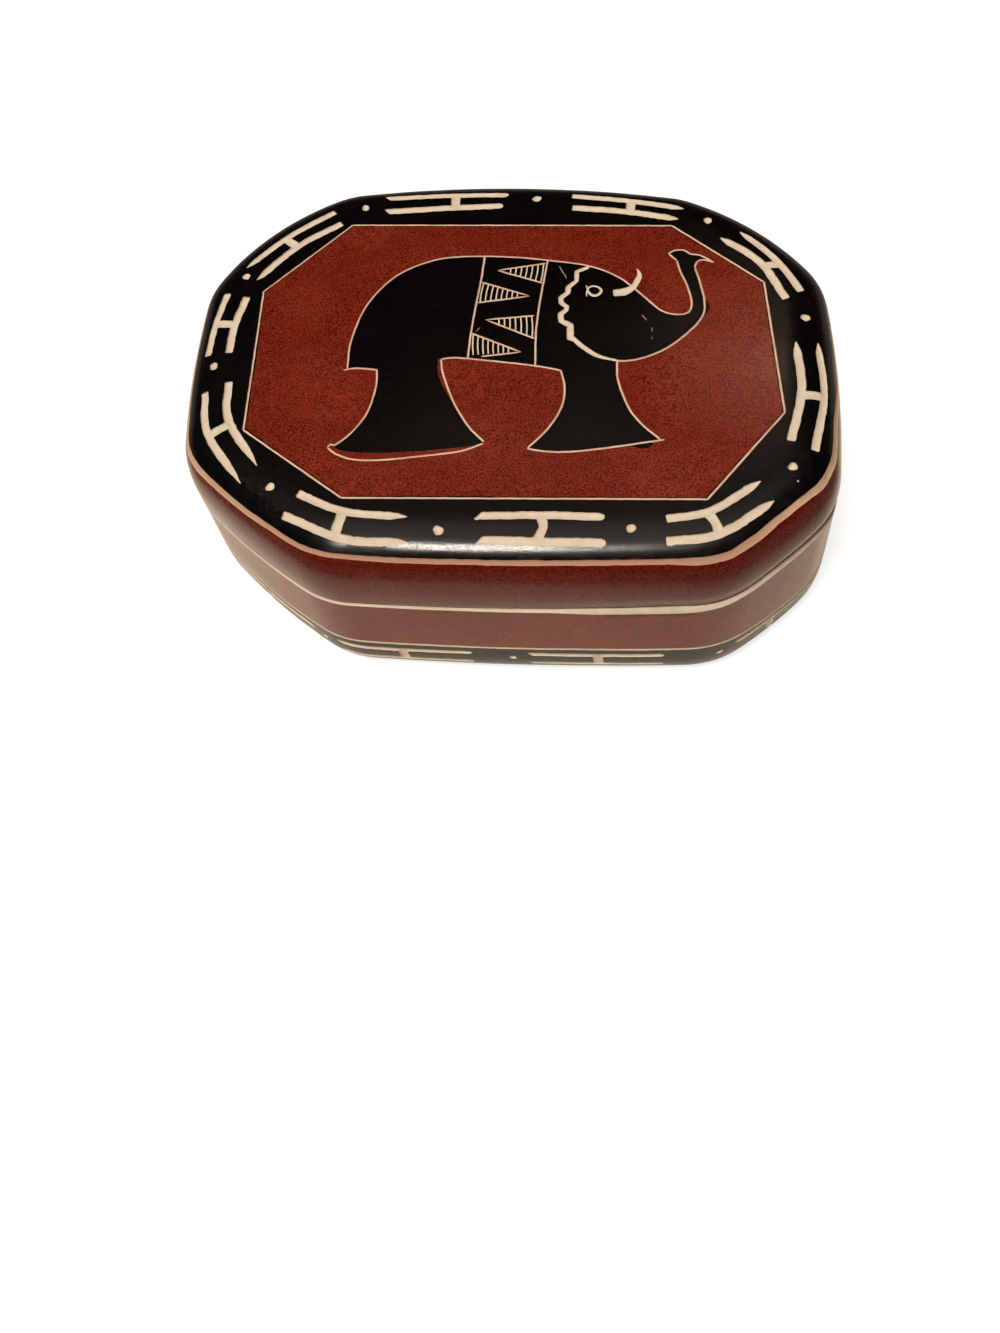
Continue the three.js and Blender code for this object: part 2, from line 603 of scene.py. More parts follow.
class Carver:
    """Cuts strokes and pips out of a body.

    Attributes:
        SECTION: Number of corners of a groove's section.
        PROUD: How far its upper corners stand above the surface.
        TREMBLE: Share by which each half of a groove's width varies.
        SLANT_REACH: How far a slanted end reaches, as a share of the width.
        SHALLOWEST: Share of the depth that is left where a groove is narrowest.
        DISH: Power that rounds the bottom of a groove.
        LUMP_HEIGHT: Share by which a dimple's radius varies.
        LUMP_COUNT: Lumps to half of a dimple's width.
    """

    SECTION = 9
    PROUD = 0.5
    TREMBLE = 0.07
    SLANT_REACH = 0.8
    SHALLOWEST = 0.3
    DISH = 0.7
    LUMP_HEIGHT = 0.3
    LUMP_COUNT = 0.8

    def __init__(self, footing: Footing, seed: int) -> None:
        """Takes up a surface.

        Args:
            footing: Gives the point and the outward normal of the surface at its two measures.
            seed: Seed of the hand's unsteadiness.
        """
        self.footing = footing
        self.hand = random.Random(seed)
        self.cutters: list[bpy.types.Object] = []

    def add(self, cuts: Iterable[Stroke | Pip | Mark]) -> None:
        """Makes the cutters of some strokes, pips and marks.

        Args:
            cuts: What to cut.
        """
        for cut in cuts:
            if isinstance(cut, Mark):
                self.add(cut.strokes())
            elif isinstance(cut, Pip):
                self._keep(self._pip(cut), Zone.GOUGED)
            else:
                self._keep(self._groove(cut), cut.tool.value.zone)

    def _keep(self, bm: bmesh.types.BMesh, zone: Zone) -> None:
        """Stores a cutter's mesh in an object.

        Args:
            bm: The closed mesh, which is freed.
            zone: What the faces that it leaves carry.
        """
        bmesh.ops.recalc_face_normals(bm, faces=bm.faces)
        bmesh.ops.triangulate(bm, faces=bm.faces)
        mark(bm.faces, zone)
        self.cutters.append(new_object(f"cutter_{len(self.cutters)}", bm))

    def _groove(self, stroke: Stroke) -> bmesh.types.BMesh:
        """Extrudes a tool's section along a stroke.

        Args:
            stroke: The stroke.

        Returns:
            The closed cutter.
        """
        tool = stroke.tool.value
        path = stroke.path()
        lay = [self.footing(u, v) for u, v, _ in path]
        places = [point for point, _ in lay]
        count = len(places)
        travelled = [0.0]
        for a, b in zip(places, places[1:]):
            travelled.append(travelled[-1] + (b - a).length)
        slanted = tool.width * self.SLANT_REACH
        sections = []
        for i, (point, normal) in enumerate(lay):
            last = (i + 1) % count if stroke.closed else min(i + 1, count - 1)
            before = i - 1 if stroke.closed or i else 0
            tangent = (places[last] - places[before]).normalized()
            across = tangent.cross(normal).normalized()
            share, skew = path[i][2], 0.0
            if not stroke.closed:
                ends = ((travelled[i], stroke.tips[0]), (travelled[-1] - travelled[i], stroke.tips[1]))
                share *= min(tip.growth(gone) for gone, tip in ends)
                skew = sum(tip.slant * max(0.0, 1 - gone / slanted) for gone, tip in ends)
            half = tool.width * share / 2
            halves = [half * (1 + self.hand.uniform(-self.TREMBLE, self.TREMBLE)) for _ in range(2)]
            point = point + across * self.hand.uniform(-tool.wander, tool.wander)
            depth = tool.depth * min(1.0, self.SHALLOWEST + (1 - self.SHALLOWEST) * share)
            sections.append(self._section(point, across + tangent * skew, normal, halves, depth))
        bm = bmesh.new()
        ring = first = bmesh.ops.create_circle(bm, segments=self.SECTION, radius=1.0)["verts"]
        for vert, place in zip(first, sections[0]):
            vert.co = place
        for section in sections[1:]:
            ring, _ = grow(bm, ring, section)
        if stroke.closed:
            bmesh.ops.bridge_loops(bm, edges=loop_edges(bm, first) + loop_edges(bm, ring))
        else:
            for end in (first, ring):
                bmesh.ops.edgeloop_fill(bm, edges=loop_edges(bm, end))
        return bm

    def _section(
        self, point: Vector, across: Vector, up: Vector, halves: Sequence[float], depth: float
    ) -> list[Vector]:
        """Lays one section of a groove across its path.

        Args:
            point: Where the section's middle meets the surface.
            across: Direction across the groove.
            up: Outward normal of the surface.
            halves: Widths to either side of the middle.
            depth: Depth at the middle.

        Returns:
            The section's corners: a dish below the surface, closed by two corners above it.
        """
        places = [point + across * halves[0] + up * self.PROUD]
        turns = self.SECTION - 3
        for i in range(turns + 1):
            turn = math.pi * i / turns
            half = halves[0] if math.cos(turn) > 0 else halves[1]
            dish = up * (depth * math.sin(turn) ** self.DISH)
            places.append(point + across * (half * math.cos(turn)) - dish)
        places.append(point - across * halves[1] + up * self.PROUD)
        return places

    def _pip(self, pip: Pip) -> bmesh.types.BMesh:
        """Makes the cutter of a dimple, a slightly uneven ball.

        Args:
            pip: The dimple.

        Returns:
            The closed cutter.
        """
        point, normal = self.footing(*pip.place)
        half = pip.size / 2
        radius = (half**2 + pip.depth**2) / (2 * pip.depth)
        bm = bmesh.new()
        ball = bmesh.ops.create_icosphere(bm, subdivisions=3, radius=radius)["verts"]
        start = Vector([self.hand.uniform(0, 50) for _ in range(3)])
        for vert in ball:
            vert.co *= 1 + self.LUMP_HEIGHT * noise.noise(start + vert.co / half * self.LUMP_COUNT)
        bmesh.ops.translate(bm, verts=ball, vec=point + normal * (radius - pip.depth))
        return bm

    def cut(self, body: bpy.types.Object) -> None:
        """Takes every cutter out of a body.

        Args:
            body: The body, whose mesh is replaced by the carved one.
        """
        shelf = bpy.data.collections.new(f"{body.name}_cutters")
        bpy.context.scene.collection.children.link(shelf)
        for cutter in self.cutters:
            for material in body.data.materials:
                cutter.data.materials.append(material)
            shelf.objects.link(cutter)
        carve = body.modifiers.new("carve", "BOOLEAN")
        carve.operation = "DIFFERENCE"
        carve.operand_type = "COLLECTION"
        carve.collection = shelf
        carve.solver = "MANIFOLD"
        graph = bpy.context.evaluated_depsgraph_get()
        carved = bpy.data.meshes.new_from_object(body.evaluated_get(graph))
        body.modifiers.clear()
        old = body.data
        body.data = carved
        bpy.data.meshes.remove(old)
        for cutter in self.cutters:
            bpy.data.meshes.remove(cutter.data)
        bpy.data.collections.remove(shelf)
        self.cutters.clear()


# Mesh helpers


def loop_edges(bm: bmesh.types.BMesh, ring: Sequence[bmesh.types.BMVert]) -> list[bmesh.types.BMEdge]:
    """Edges of a closed ring of vertices, in the ring's order."""
    return [bm.edges.get((vert, ring[(i + 1) % len(ring)])) for i, vert in enumerate(ring)]


def grow(
    bm: bmesh.types.BMesh, ring: Sequence[bmesh.types.BMVert], places: Iterable[Vector]
) -> tuple[list[bmesh.types.BMVert], list[bmesh.types.BMFace]]:
    """Extrudes a closed ring of vertices and moves the new ring into place.

    Args:
        bm: The mesh.
        ring: The ring's vertices in order.
        places: Where the new ring's vertices go.

    Returns:
        The new ring in the same order, and the faces between the two rings.
    """
    made = bmesh.ops.extrude_edge_only(bm, edges=loop_edges(bm, ring))["geom"]
    fresh = {item for item in made if isinstance(item, bmesh.types.BMVert)}
    faces = [item for item in made if isinstance(item, bmesh.types.BMFace)]
    follow = [next(e.other_vert(v) for e in v.link_edges if e.other_vert(v) in fresh) for v in ring]
    for vert, place in zip(follow, places):
        vert.co = place
    return follow, faces


def outline_depth(places: np.ndarray, polygon: np.ndarray) -> np.ndarray:
    """Signed distance of flat points from a polygon's edge.

    Args:
        places: The points, one row each.
        polygon: The polygon's corners in order, one row each.

    Returns:
        The distances, positive inside the polygon.
    """
    nearest = np.full(len(places), np.inf)
    inside = np.zeros(len(places), dtype=bool)
    x, y = places[:, 0], places[:, 1]
    for (ax, ay), (bx, by) in zip(polygon, np.roll(polygon, -1, axis=0)):
        run = np.array([bx - ax, by - ay])
        t = np.clip(((x - ax) * run[0] + (y - ay) * run[1]) / max(run @ run, 1e-9), 0, 1)
        nearest = np.minimum(nearest, np.hypot(x - ax - run[0] * t, y - ay - run[1] * t))
        if ay != by:
            crossing = (ay > y) != (by > y)
            inside ^= crossing & (x < ax + (y - ay) * run[0] / run[1])
    return np.where(inside, nearest, -nearest)


def store(mesh: bpy.types.Mesh, name: str, values: np.ndarray) -> None:
    """Keeps one number per vertex on a mesh, under a name."""
    layer = mesh.attributes.new(name, "FLOAT", "POINT")
    layer.data.foreach_set("value", values.astype(np.float32))


def positions(mesh: bpy.types.Mesh) -> np.ndarray:
    """Gathers the places of a mesh's vertices.

    Args:
        mesh: The mesh.

    Returns:
        The places, one row each.
    """
    places = np.empty(len(mesh.vertices) * 3)
    mesh.vertices.foreach_get("co", places)
    return places.reshape(-1, 3)


def mark(faces: Iterable[bmesh.types.BMFace], zone: Zone) -> None:
    """Sets what some faces carry."""
    for face in faces:
        face.material_index = zone.value


def new_object(name: str, bm: bmesh.types.BMesh) -> bpy.types.Object:
    """Turns a mesh in the making into an object.

    Args:
        name: Name of the object and of its mesh.
        bm: The mesh in the making, which is freed.

    Returns:
        The object, not yet in the scene.
    """
    mesh = bpy.data.meshes.new(name)
    bm.to_mesh(mesh)
    bm.free()
    return bpy.data.objects.new(name, mesh)


def show(item: bpy.types.Object) -> None:
    """Puts an object into the scene."""
    bpy.context.scene.collection.objects.link(item)


# The ornament of the lid, read off the photograph and laid out in millimetres


@dataclass(frozen=True)
class Field:
    """The incised octagon round the lid's flat field. Its lines overshoot a little where they cross."""

    corners: Line = (
        (-32.5, 35.7), (33.1, 30.6), (50.1, 13.8), (51.7, -18.5), (37.4, -37.2), (-27.0, -34.8),
        (-47.6, -18.4), (-49.0, 17.6),
    )
    overshoot: float = 0.15

    def strokes(self) -> list[Stroke]:
        """Lays out the sides.

        Returns:
            One straight stroke for each side, a little longer than the side.
        """
        strokes = []
        for i, corner in enumerate(self.corners):
            start, end = Vector(corner), Vector(self.corners[(i + 1) % len(self.corners)])
            spare = (end - start).normalized() * self.overshoot
            ends = (tuple(start - spare), tuple(end + spare))
            strokes.append(Stroke(ends, Tools.SCRIBER, straight=True))
        return strokes


@dataclass(frozen=True)
class Triangle:
    """A hatched triangle of the blanket.

    Attributes:
        tip: The sharp corner.
        top: The upper corner of the base.
        bottom: The lower corner of the base.
        hatches: Number of lines across it.
        bow: How far the lines bow towards the base.
        lower_start: Where the lower long side starts, if that isn't the lower corner.
        taper: Length over which the long sides run out at the sharp corner.
        first_hatch: How far the first line is from the base, as a share of the spacing.
        spare: How many more spacings than lines the length is divided into.
    """

    tip: Point
    top: Point
    bottom: Point
    hatches: int
    bow: float = 0.12
    lower_start: Point | None = None
    taper: float = 2.0
    first_hatch: float = 0.45
    spare: float = 1.9

    def strokes(self) -> list[Stroke]:
        """Lays out the triangle's lines.

        Returns:
            The two long sides and the hatching between them.
        """
        tip, top, bottom = Vector(self.tip), Vector(self.top), Vector(self.bottom)
        starts = (self.top, self.lower_start or self.bottom)
        sides = [Stroke((self.tip, start), Tools.SCRIBER, (pointed(self.taper), FINE)) for start in starts]
        for i in range(self.hatches):
            share = (i + self.first_hatch) / (self.hatches + self.spare)
            high, low = top.lerp(tip, share), bottom.lerp(tip, share)
            out = ((top + bottom) / 2 - tip).normalized() * self.bow * (1 - share)
            line = (tuple(high), tuple((high + low) / 2 + out), tuple(low))
            sides.append(Stroke(line, Tools.HATCHER, (FAINT, FAINT)))
        return sides


@dataclass(frozen=True)
class Elephant:
    """The walking elephant in the middle of the field, facing right with its trunk raised."""

    back: Line = (
        (-29.2, -4.6), (-29.2, 3.1), (-26.9, 12.4), (-21.8, 19.9), (-14.6, 23.8), (-7.8, 24.5), (1.2, 23.7),
        (8.8, 22.2), (16.7, 20.1), (22.6, 16.5), (27.0, 11.5), (30.4, 7.3), (33.4, 6.1), (35.6, 6.6),
        (36.3, 9.2), (35.6, 13.5), (34.4, 17.6), (33.8, 20.7),
    )
    trunk_tip: Line = (
        (33.8, 20.7), (32.3, 22.8), (33.4, 23.5), (35.2, 23.5), (36.5, 22.3), (38.3, 21.9), (40.9, 19.7),
    )
    trunk_hook: Line = ((40.9, 19.7), (39.0, 20.6), (37.6, 20.0), (37.2, 18.6))
    jaw: Line = (
        (37.2, 18.6), (38.1, 14.0), (38.7, 9.4), (38.2, 5.6), (35.7, 1.8), (31.1, -2.5), (26.4, -4.8),
        (22.6, -5.3), (19.6, -4.4),
    )
    tail_notch: Line = ((-29.9, -4.7), (-27.6, -4.4), (-23.3, -5.1))
    hind_leg_back: Line = (
        (-23.4, -4.9), (-23.1, -9.0), (-24.2, -15.4), (-26.8, -20.1), (-29.6, -22.8), (-30.4, -22.6),
        (-30.9, -23.3),
    )
    hind_foot: Line = (
        (-30.9, -23.3), (-29.2, -24.8), (-25.6, -26.3), (-20.5, -26.6), (-12.8, -26.0), (-6.0, -25.2),
        (-2.0, -23.6),
    )
    hind_leg_front: Line = ((-11.1, -3.3), (-10.4, -7.2), (-7.9, -14.2), (-4.9, -19.7), (-1.9, -23.3))
    belly: Line = ((-11.1, -3.3), (-8.4, -3.1), (-2.0, -4.2), (6.7, -5.9), (11.8, -7.3))
    foreleg_back: Line = ((11.7, -7.2), (12.5, -11.5), (11.9, -16.2), (9.6, -20.8), (6.0, -25.1))
    forefoot: Line = ((6.0, -25.1), (9.0, -25.8), (13.5, -26.1), (21.0, -25.4), (30.4, -24.0))
    foreleg_front: Line = ((22.1, -5.0), (22.2, -9.6), (23.9, -16.0), (26.3, -20.2), (29.7, -24.0))

    ear: Line = (
        (16.7, 19.8), (14.3, 18.6), (14.3, 16.0), (12.7, 14.3), (12.7, 12.9), (11.3, 11.4), (11.4, 10.1),
        (12.5, 9.0), (12.4, 8.1), (11.4, 7.1), (11.5, 5.3), (13.3, 4.0), (13.3, 0.8), (14.5, 0.1),
    )
    ear_swell: tuple[float, ...] = (0.7, 0.85, 0.75, 0.9, 0.9, 0.95, 0.9, 0.85, 0.85, 1.0, 1.0, 1.1, 1.2, 0.8)
    ear_root: Line = ((14.0, 0.4), (15.7, -1.5), (18.0, -3.6), (20.1, -4.6), (22.1, -5.1))
    ear_root_swell: tuple[float, ...] = (0.8, 0.85, 0.8, 0.55, 0.4)
    eye: Line = (
        (16.5, 13.7), (17.5, 14.4), (18.7, 13.9), (19.1, 12.9), (18.4, 11.9), (17.5, 11.8), (16.7, 12.7),
    )
    eye_swell: tuple[float, ...] = (0.8, 0.75, 0.8, 1.0, 1.15, 1.15, 0.9)
    eye_fold: Line = ((16.1, 14.7), (16.5, 13.7), (16.3, 12.7), (16.3, 11.5))
    tusk: Line = ((21.4, 12.3), (23.4, 12.5), (25.1, 13.6), (26.2, 15.8), (26.5, 17.3), (26.0, 18.9))
    tusk_swell: tuple[float, ...] = (1.1, 1.2, 0.85, 0.75, 0.5, 0.1)

    blanket_lines: tuple[Line, ...] = (
        ((-4.2, 24.2), (-4.6, 16.9), (-5.1, 11.4), (-5.7, 3.4), (-6.0, -3.7)),
        ((8.5, 22.3), (7.8, 15.8), (7.2, 9.8), (6.8, 3.5), (6.8, -1.3), (6.9, -6.1)),
    )
    triangles: tuple[Triangle, ...] = (
        Triangle((-1.4, 20.0), (8.2, 21.4), (7.7, 15.8), hatches=7),
        Triangle((5.3, 12.3), (-4.4, 16.8), (-4.9, 11.1), hatches=8),
        Triangle((-3.1, 6.4), (6.3, 6.9), (6.6, 0.9), hatches=7),
        Triangle((4.1, -2.4), (-5.7, 3.0), (-5.4, -2.7), hatches=8, lower_start=(-3.4, -3.1)),
    )

    dyed_hind_foot: Line = (
        (-30.0, -23.0), (-27.5, -24.3), (-20.0, -25.0), (-10.0, -24.7), (-3.0, -23.9), (-2.0, -23.4),
    )
    dyed_hind_leg_front: Line = (
        (-11.6, -3.2), (-11.5, -6.4), (-10.2, -10.2), (-7.7, -14.8), (-4.6, -20.3),
    )
    jaw_spill: Line = ((38.3, 10.6), (39.2, 9.2), (39.7, 7.6), (38.4, 5.2))
    forefoot_spill: Line = ((24.6, -25.3), (26.2, -25.9), (28.0, -25.6), (28.6, -24.4))
    forefoot_toe: Line = ((30.2, -23.9),)
    eye_fold_swell: tuple[float, ...] = (0.4, 0.6, 0.6, 0.3)

    def strokes(self) -> list[Stroke]:
        """Gathers the lines of the figure.

        Returns:
            The thin lines, then those of the head's wider cuts, then the blanket's triangles.
        """
        head = (self.back, self.trunk_tip, self.trunk_hook, self.jaw)
        hind = (self.tail_notch, self.hind_leg_back, self.hind_foot, self.hind_leg_front)
        fore = (self.belly, self.foreleg_back, self.forefoot, self.foreleg_front)
        thin = [Stroke(line, Tools.SCRIBER) for line in (*head, *hind, *fore, *self.blanket_lines)]
        wide = [
            Stroke(self.ear, Tools.CHISEL, straight=True, swell=self.ear_swell),
            Stroke(self.ear_root, Tools.CHISEL, swell=self.ear_root_swell),
            Stroke(self.eye, Tools.BURIN, closed=True, swell=self.eye_swell),
            Stroke(self.eye_fold, Tools.BURIN, swell=self.eye_fold_swell),
            Stroke(self.tusk, Tools.GOUGE, (BLUNT, FINE), swell=self.tusk_swell),
        ]
        blanket = [stroke for triangle in self.triangles for stroke in triangle.strokes()]
        return [*thin, *wide, *blanket]

    def dye(self) -> np.ndarray:
        """Edge of the black dye, which doesn't keep to the lines everywhere.

        Returns:
            The polygon's corners, one row each.
        """
        runs = (
            self.back[:-1],
            self.trunk_tip,
            self.trunk_hook[1:],
            self.jaw[1:3],
            self.jaw_spill,
            self.jaw[4:8],
            self.foreleg_front[:-1],
            self.forefoot_toe,
            self.forefoot_spill[::-1],
            self.forefoot[:4][::-1],
            self.foreleg_back[:-1][::-1],
            self.belly[:-1][::-1],
            self.dyed_hind_leg_front,
            self.dyed_hind_foot[::-1],
            self.hind_leg_back[:-2][::-1],
            self.tail_notch[:-1][::-1],
        )
        smooth = []
        for run in runs:
            if len(run) > 2:
                smooth.extend((u, v) for u, v, _ in Stroke(run, Tools.SCRIBER).path())
            else:
                smooth.extend(run)
        return np.array(smooth)


MARKS = (
    Mark(
        ((-25.9, 43.6), (-13.2, 43.4), (-0.2, 42.6)),
        ((-25.6, 39.2), (-13.3, 39.3), (-1.2, 39.1)),
        ((-11.3, 43.1), (-11.1, 39.2)),
        tips=(SLANTED, ROUND),
    ),
    Mark(
        ((13.0, 41.2), (24.5, 38.8), (35.6, 35.6)),
        ((13.1, 37.4), (24.0, 35.4), (34.4, 32.4)),
        ((25.1, 38.6), (24.9, 35.2)),
        tips=(BLUNT, pointed(2.4)),
    ),
    Mark(
        ((46.4, 28.2), (52.3, 20.7), (56.9, 11.3)),
        ((42.5, 26.5), (49.6, 19.3), (53.9, 9.2)),
        ((54.1, 18.6), (50.2, 18.2)),
        tips=(pointed(3.0), BLUNT),
    ),
    Mark(
        ((59.0, -1.4), (59.1, -13.8), (56.3, -26.9)),
        ((54.9, -1.8), (55.0, -13.4), (52.3, -25.0)),
        ((58.8, -14.4), (54.9, -14.6)),
        tips=(pointed(3.5), BLUNT),
    ),
    Mark(
        ((30.2, -45.3), (39.2, -44.0), (48.6, -37.4)),
        ((30.3, -41.1), (37.9, -39.6), (46.5, -33.6)),
        ((39.2, -44.0), (38.5, -42.0), (37.3, -40.0)),
        tips=(BLUNT, pointed(3.0)),
    ),
    Mark(
        ((-1.9, -44.2), (9.0, -44.8), (20.0, -45.3)),
        ((-2.3, -39.5), (8.9, -39.7), (19.8, -40.4)),
        ((8.1, -44.8), (9.3, -42.2), (8.8, -39.8)),
        tips=(replace(SLANTED, slant=-SLANTED.slant), ROUND),
    ),
    Mark(
        ((-37.6, -37.6), (-26.5, -43.0), (-14.3, -44.2)),
        ((-35.2, -33.5), (-26.1, -37.8), (-14.7, -39.3)),
        ((-27.4, -42.4), (-26.4, -37.9)),
        tips=(BLUNT, pointed(3.6)),
    ),
    Mark(
        ((-57.0, -8.3), (-54.7, -18.5), (-46.6, -30.2)),
        ((-52.4, -6.3), (-50.9, -15.8), (-43.7, -26.9)),
        ((-54.2, -19.2), (-50.7, -17.0)),
        tips=(BLUNT, pointed(7.0)),
    ),
    Mark(
        ((-56.6, 17.8), (-57.8, 9.8), (-58.1, 1.3)),
        ((-52.3, 16.3), (-53.6, 8.5), (-53.6, 1.3)),
        ((-57.8, 9.6), (-53.6, 8.8)),
        tips=(BLUNT, BLUNT),
    ),
    Mark(
        ((-53.7, 24.9), (-45.7, 33.5), (-36.8, 40.1)),
        ((-50.9, 21.0), (-43.6, 30.1), (-34.9, 36.4)),
        ((-46.4, 32.6), (-43.8, 30.2)),
        tips=(pointed(3.0), BLUNT),
    ),
)

PIPS = (
    Pip((5.8, 40.8)), Pip((40.2, 31.6)), Pip((57.2, 4.4)), Pip((52.2, -30.6)),
    Pip((52.9, -33.3), size=0.4, depth=0.12),
    Pip((24.3, -42.8)), Pip((-9.0, -42.2)), Pip((-40.6, -31.8)), Pip((-56.3, -1.8)), Pip((-53.2, 22.2)),
    Pip((-30.3, 40.8)),
)

SCRATCHES = (
    ((26.8, 6.3), (27.3, 5.4), (27.8, 4.7)),
    ((28.6, 3.0), (28.7, 1.8)),
    ((28.7, 0.6), (28.6, -0.1)),
    ((10.8, 20.4), (12.4, 16.7)),
    ((-4.0, 4.5), (-4.8, 3.3)),
)


# Finishes


WHITE: Colour = (1.0, 1.0, 1.0)


def shade(red: int, green: int, blue: int) -> Colour:
    """Turns a colour as it is seen on a screen, 0 to 255, into the light that it stands for."""
    shares = [value / 255 for value in (red, green, blue)]
    return tuple(((s + 0.055) / 1.055) ** 2.4 if s > 0.04 else s / 12.92 for s in shares)


class Recipe:
    """Lays out the nodes of one material or one shader node group."""

    def __init__(self, tree: bpy.types.NodeTree) -> None:
        """Empties the tree that is to be filled."""
        self.tree = tree
        tree.nodes.clear()

    def add(self, kind: str, inputs: dict | None = None, **settings: object) -> bpy.types.Node:
        """Adds a shader node.

        Args:
            kind: The node's type.
            inputs: What its inputs take, by name or place.
            **settings: Values of its properties.

        Returns:
            The node.
        """
        node = self.tree.nodes.new(f"ShaderNode{kind}")
        for name, value in settings.items():
            setattr(node, name, value)
        self.feed(node, inputs or {})
        return node

    def feed(self, node: bpy.types.Node, inputs: dict) -> None:
        """Links a node's inputs to other nodes, or sets their values.

        Args:
            node: The node.
            inputs: Sockets, numbers, colours or vectors, by the input's name or place.
        """
        for key, value in inputs.items():
            socket = node.inputs[key]
            if isinstance(value, bpy.types.NodeSocket):
                self.tree.links.new(value, socket)
            else:
                socket.default_value = (*value, 1.0) if socket.type == "RGBA" else value

    def math(self, operation: str, *values: object) -> Socket:
        """Result of a sum on two or three numbers."""
        return self.add("Math", dict(enumerate(values)), operation=operation).outputs[0]

    def times(self, first: object, second: object) -> Socket:
        """Product of two numbers."""
        return self.math("MULTIPLY", first, second)

    def vectors(self, operation: str, *values: object) -> bpy.types.bpy_prop_collection:
        """Both outputs of a sum on vectors, a vector and a number."""
        return self.add("VectorMath", dict(enumerate(values)), operation=operation).outputs

    def mix(self, share: object, first: object, second: object) -> Socket:
        """Blend of two colours, with a share of the second."""
        return self.add("Mix", {0: share, 6: first, 7: second}, data_type="RGBA").outputs[2]

    def noise(self, place: Socket, scale: float, detail: float, roughness: float) -> Socket:
        """Soft random values from about 0.2 to 0.8, with some number and strength of finer layers."""
        inputs = {"Vector": place, "Scale": scale, "Detail": detail, "Roughness": roughness}
        return self.add("TexNoise", inputs).outputs["Fac"]

    def ramp(self, value: Socket, low: object, high: object) -> Socket:
        """Smooth step from 0 at low to 1 at high."""
        inputs = {"Value": value, "From Min": low, "From Max": high}
        return self.add("MapRange", inputs, interpolation_type="SMOOTHSTEP").outputs["Result"]

    def edge(self, depth: Socket, at: float = 0.0, soft: float = 0.05) -> Socket:
        """Mask of what lies deeper than a depth, with a soft edge."""
        return self.ramp(depth, at - soft, at + soft)

    def millimetres(self) -> Socket:
        """Position on the piece in millimetres."""
        return self.vectors("MULTIPLY", self.add("TexCoord").outputs["Object"], (1 / MM,) * 3)[0]

    def measure(self, name: str) -> Socket:
        """Number that the mesh keeps under a name."""
        return self.add("Attribute", attribute_name=name).outputs["Fac"]

    def use(self, kind: "Group", **values: object) -> bpy.types.bpy_prop_collection:
        """Outputs of a shader node group, placed with its own values."""
        return self.add("Group", values, node_tree=group(kind)).outputs

    def emboss(self, surface: bpy.types.Node, height: Socket, strength: float) -> None:
        """Turns a height in millimetres into a surface's relief, at a strength from 0 to 1."""
        bump = self.add("Bump", {"Strength": strength, "Distance": MM, "Height": height})
        self.feed(surface, {"Normal": bump.outputs["Normal"]})

    def part_views(self, shown: Socket, other: Socket) -> Socket:
        """Shader that shows one thing to the camera and another to all else."""
        seen = self.add("LightPath").outputs["Is Camera Ray"]
        return self.add("MixShader", {0: seen, 1: other, 2: shown}).outputs[0]


class Group(Enum):
    """The effects that more than one finish uses."""

    MOTTLE = "mottled_colour"
    GRAIN = "stone_grain"
    WAX = "wax_skin"


def new_group(
    kind: Group, inputs: dict[str, str], outputs: dict[str, str]
) -> tuple[Recipe, dict[str, Socket], bpy.types.Node]:
    """Starts a shader node group.

    Args:
        kind: Which group.
        inputs: Socket types by name, such as Float, Color or Vector.
        outputs: Socket types by name.

    Returns:
        The recipe, the input sockets by name and the group's output node.
    """
    tree = bpy.data.node_groups.new(kind.value, "ShaderNodeTree")
    for way, sockets in (("INPUT", inputs), ("OUTPUT", outputs)):
        for name, form in sockets.items():
            tree.interface.new_socket(name, in_out=way, socket_type=f"NodeSocket{form}")
    recipe = Recipe(tree)
    source, sink = (tree.nodes.new(f"NodeGroup{way}") for way in ("Input", "Output"))
    return recipe, {name: source.outputs[name] for name in inputs}, sink


def mottle_group() -> bpy.types.NodeTree:
    """Dye that took unevenly: small dark specks, paler flecks and wide clouds.

    Returns:
        The group. Its output is Colour.
    """
    colours = dict.fromkeys(("Body", "Dark", "Pale"), "Color")
    inputs = {"Place": "Vector", **colours, "Specks": "Float", "Clouds": "Float"}
    recipe, given, sink = new_group(Group.MOTTLE, inputs, {"Colour": "Color"})
    specks = recipe.noise(given["Place"], scale=2.9, detail=4.0, roughness=0.72)
    blots = recipe.noise(given["Place"], scale=0.5, detail=4.0, roughness=0.65)
    clouds = recipe.noise(given["Place"], scale=0.055, detail=2.0, roughness=0.5)
    heavy = recipe.times(recipe.ramp(blots, 0.56, 0.36), 0.2)
    dark = recipe.times(recipe.math("ADD", recipe.ramp(specks, 0.55, 0.38), heavy), given["Specks"])
    cloudy = recipe.times(recipe.ramp(clouds, 0.4, 0.66), given["Clouds"])
    colour = recipe.mix(cloudy, given["Body"], given["Pale"])
    flecks = recipe.times(recipe.ramp(specks, 0.54, 0.72), 0.6)
    colour = recipe.mix(flecks, colour, given["Pale"])
    colour = recipe.mix(recipe.math("MINIMUM", dark, 1.0), colour, given["Dark"])
    recipe.feed(sink, {"Colour": colour})
    return recipe.tree


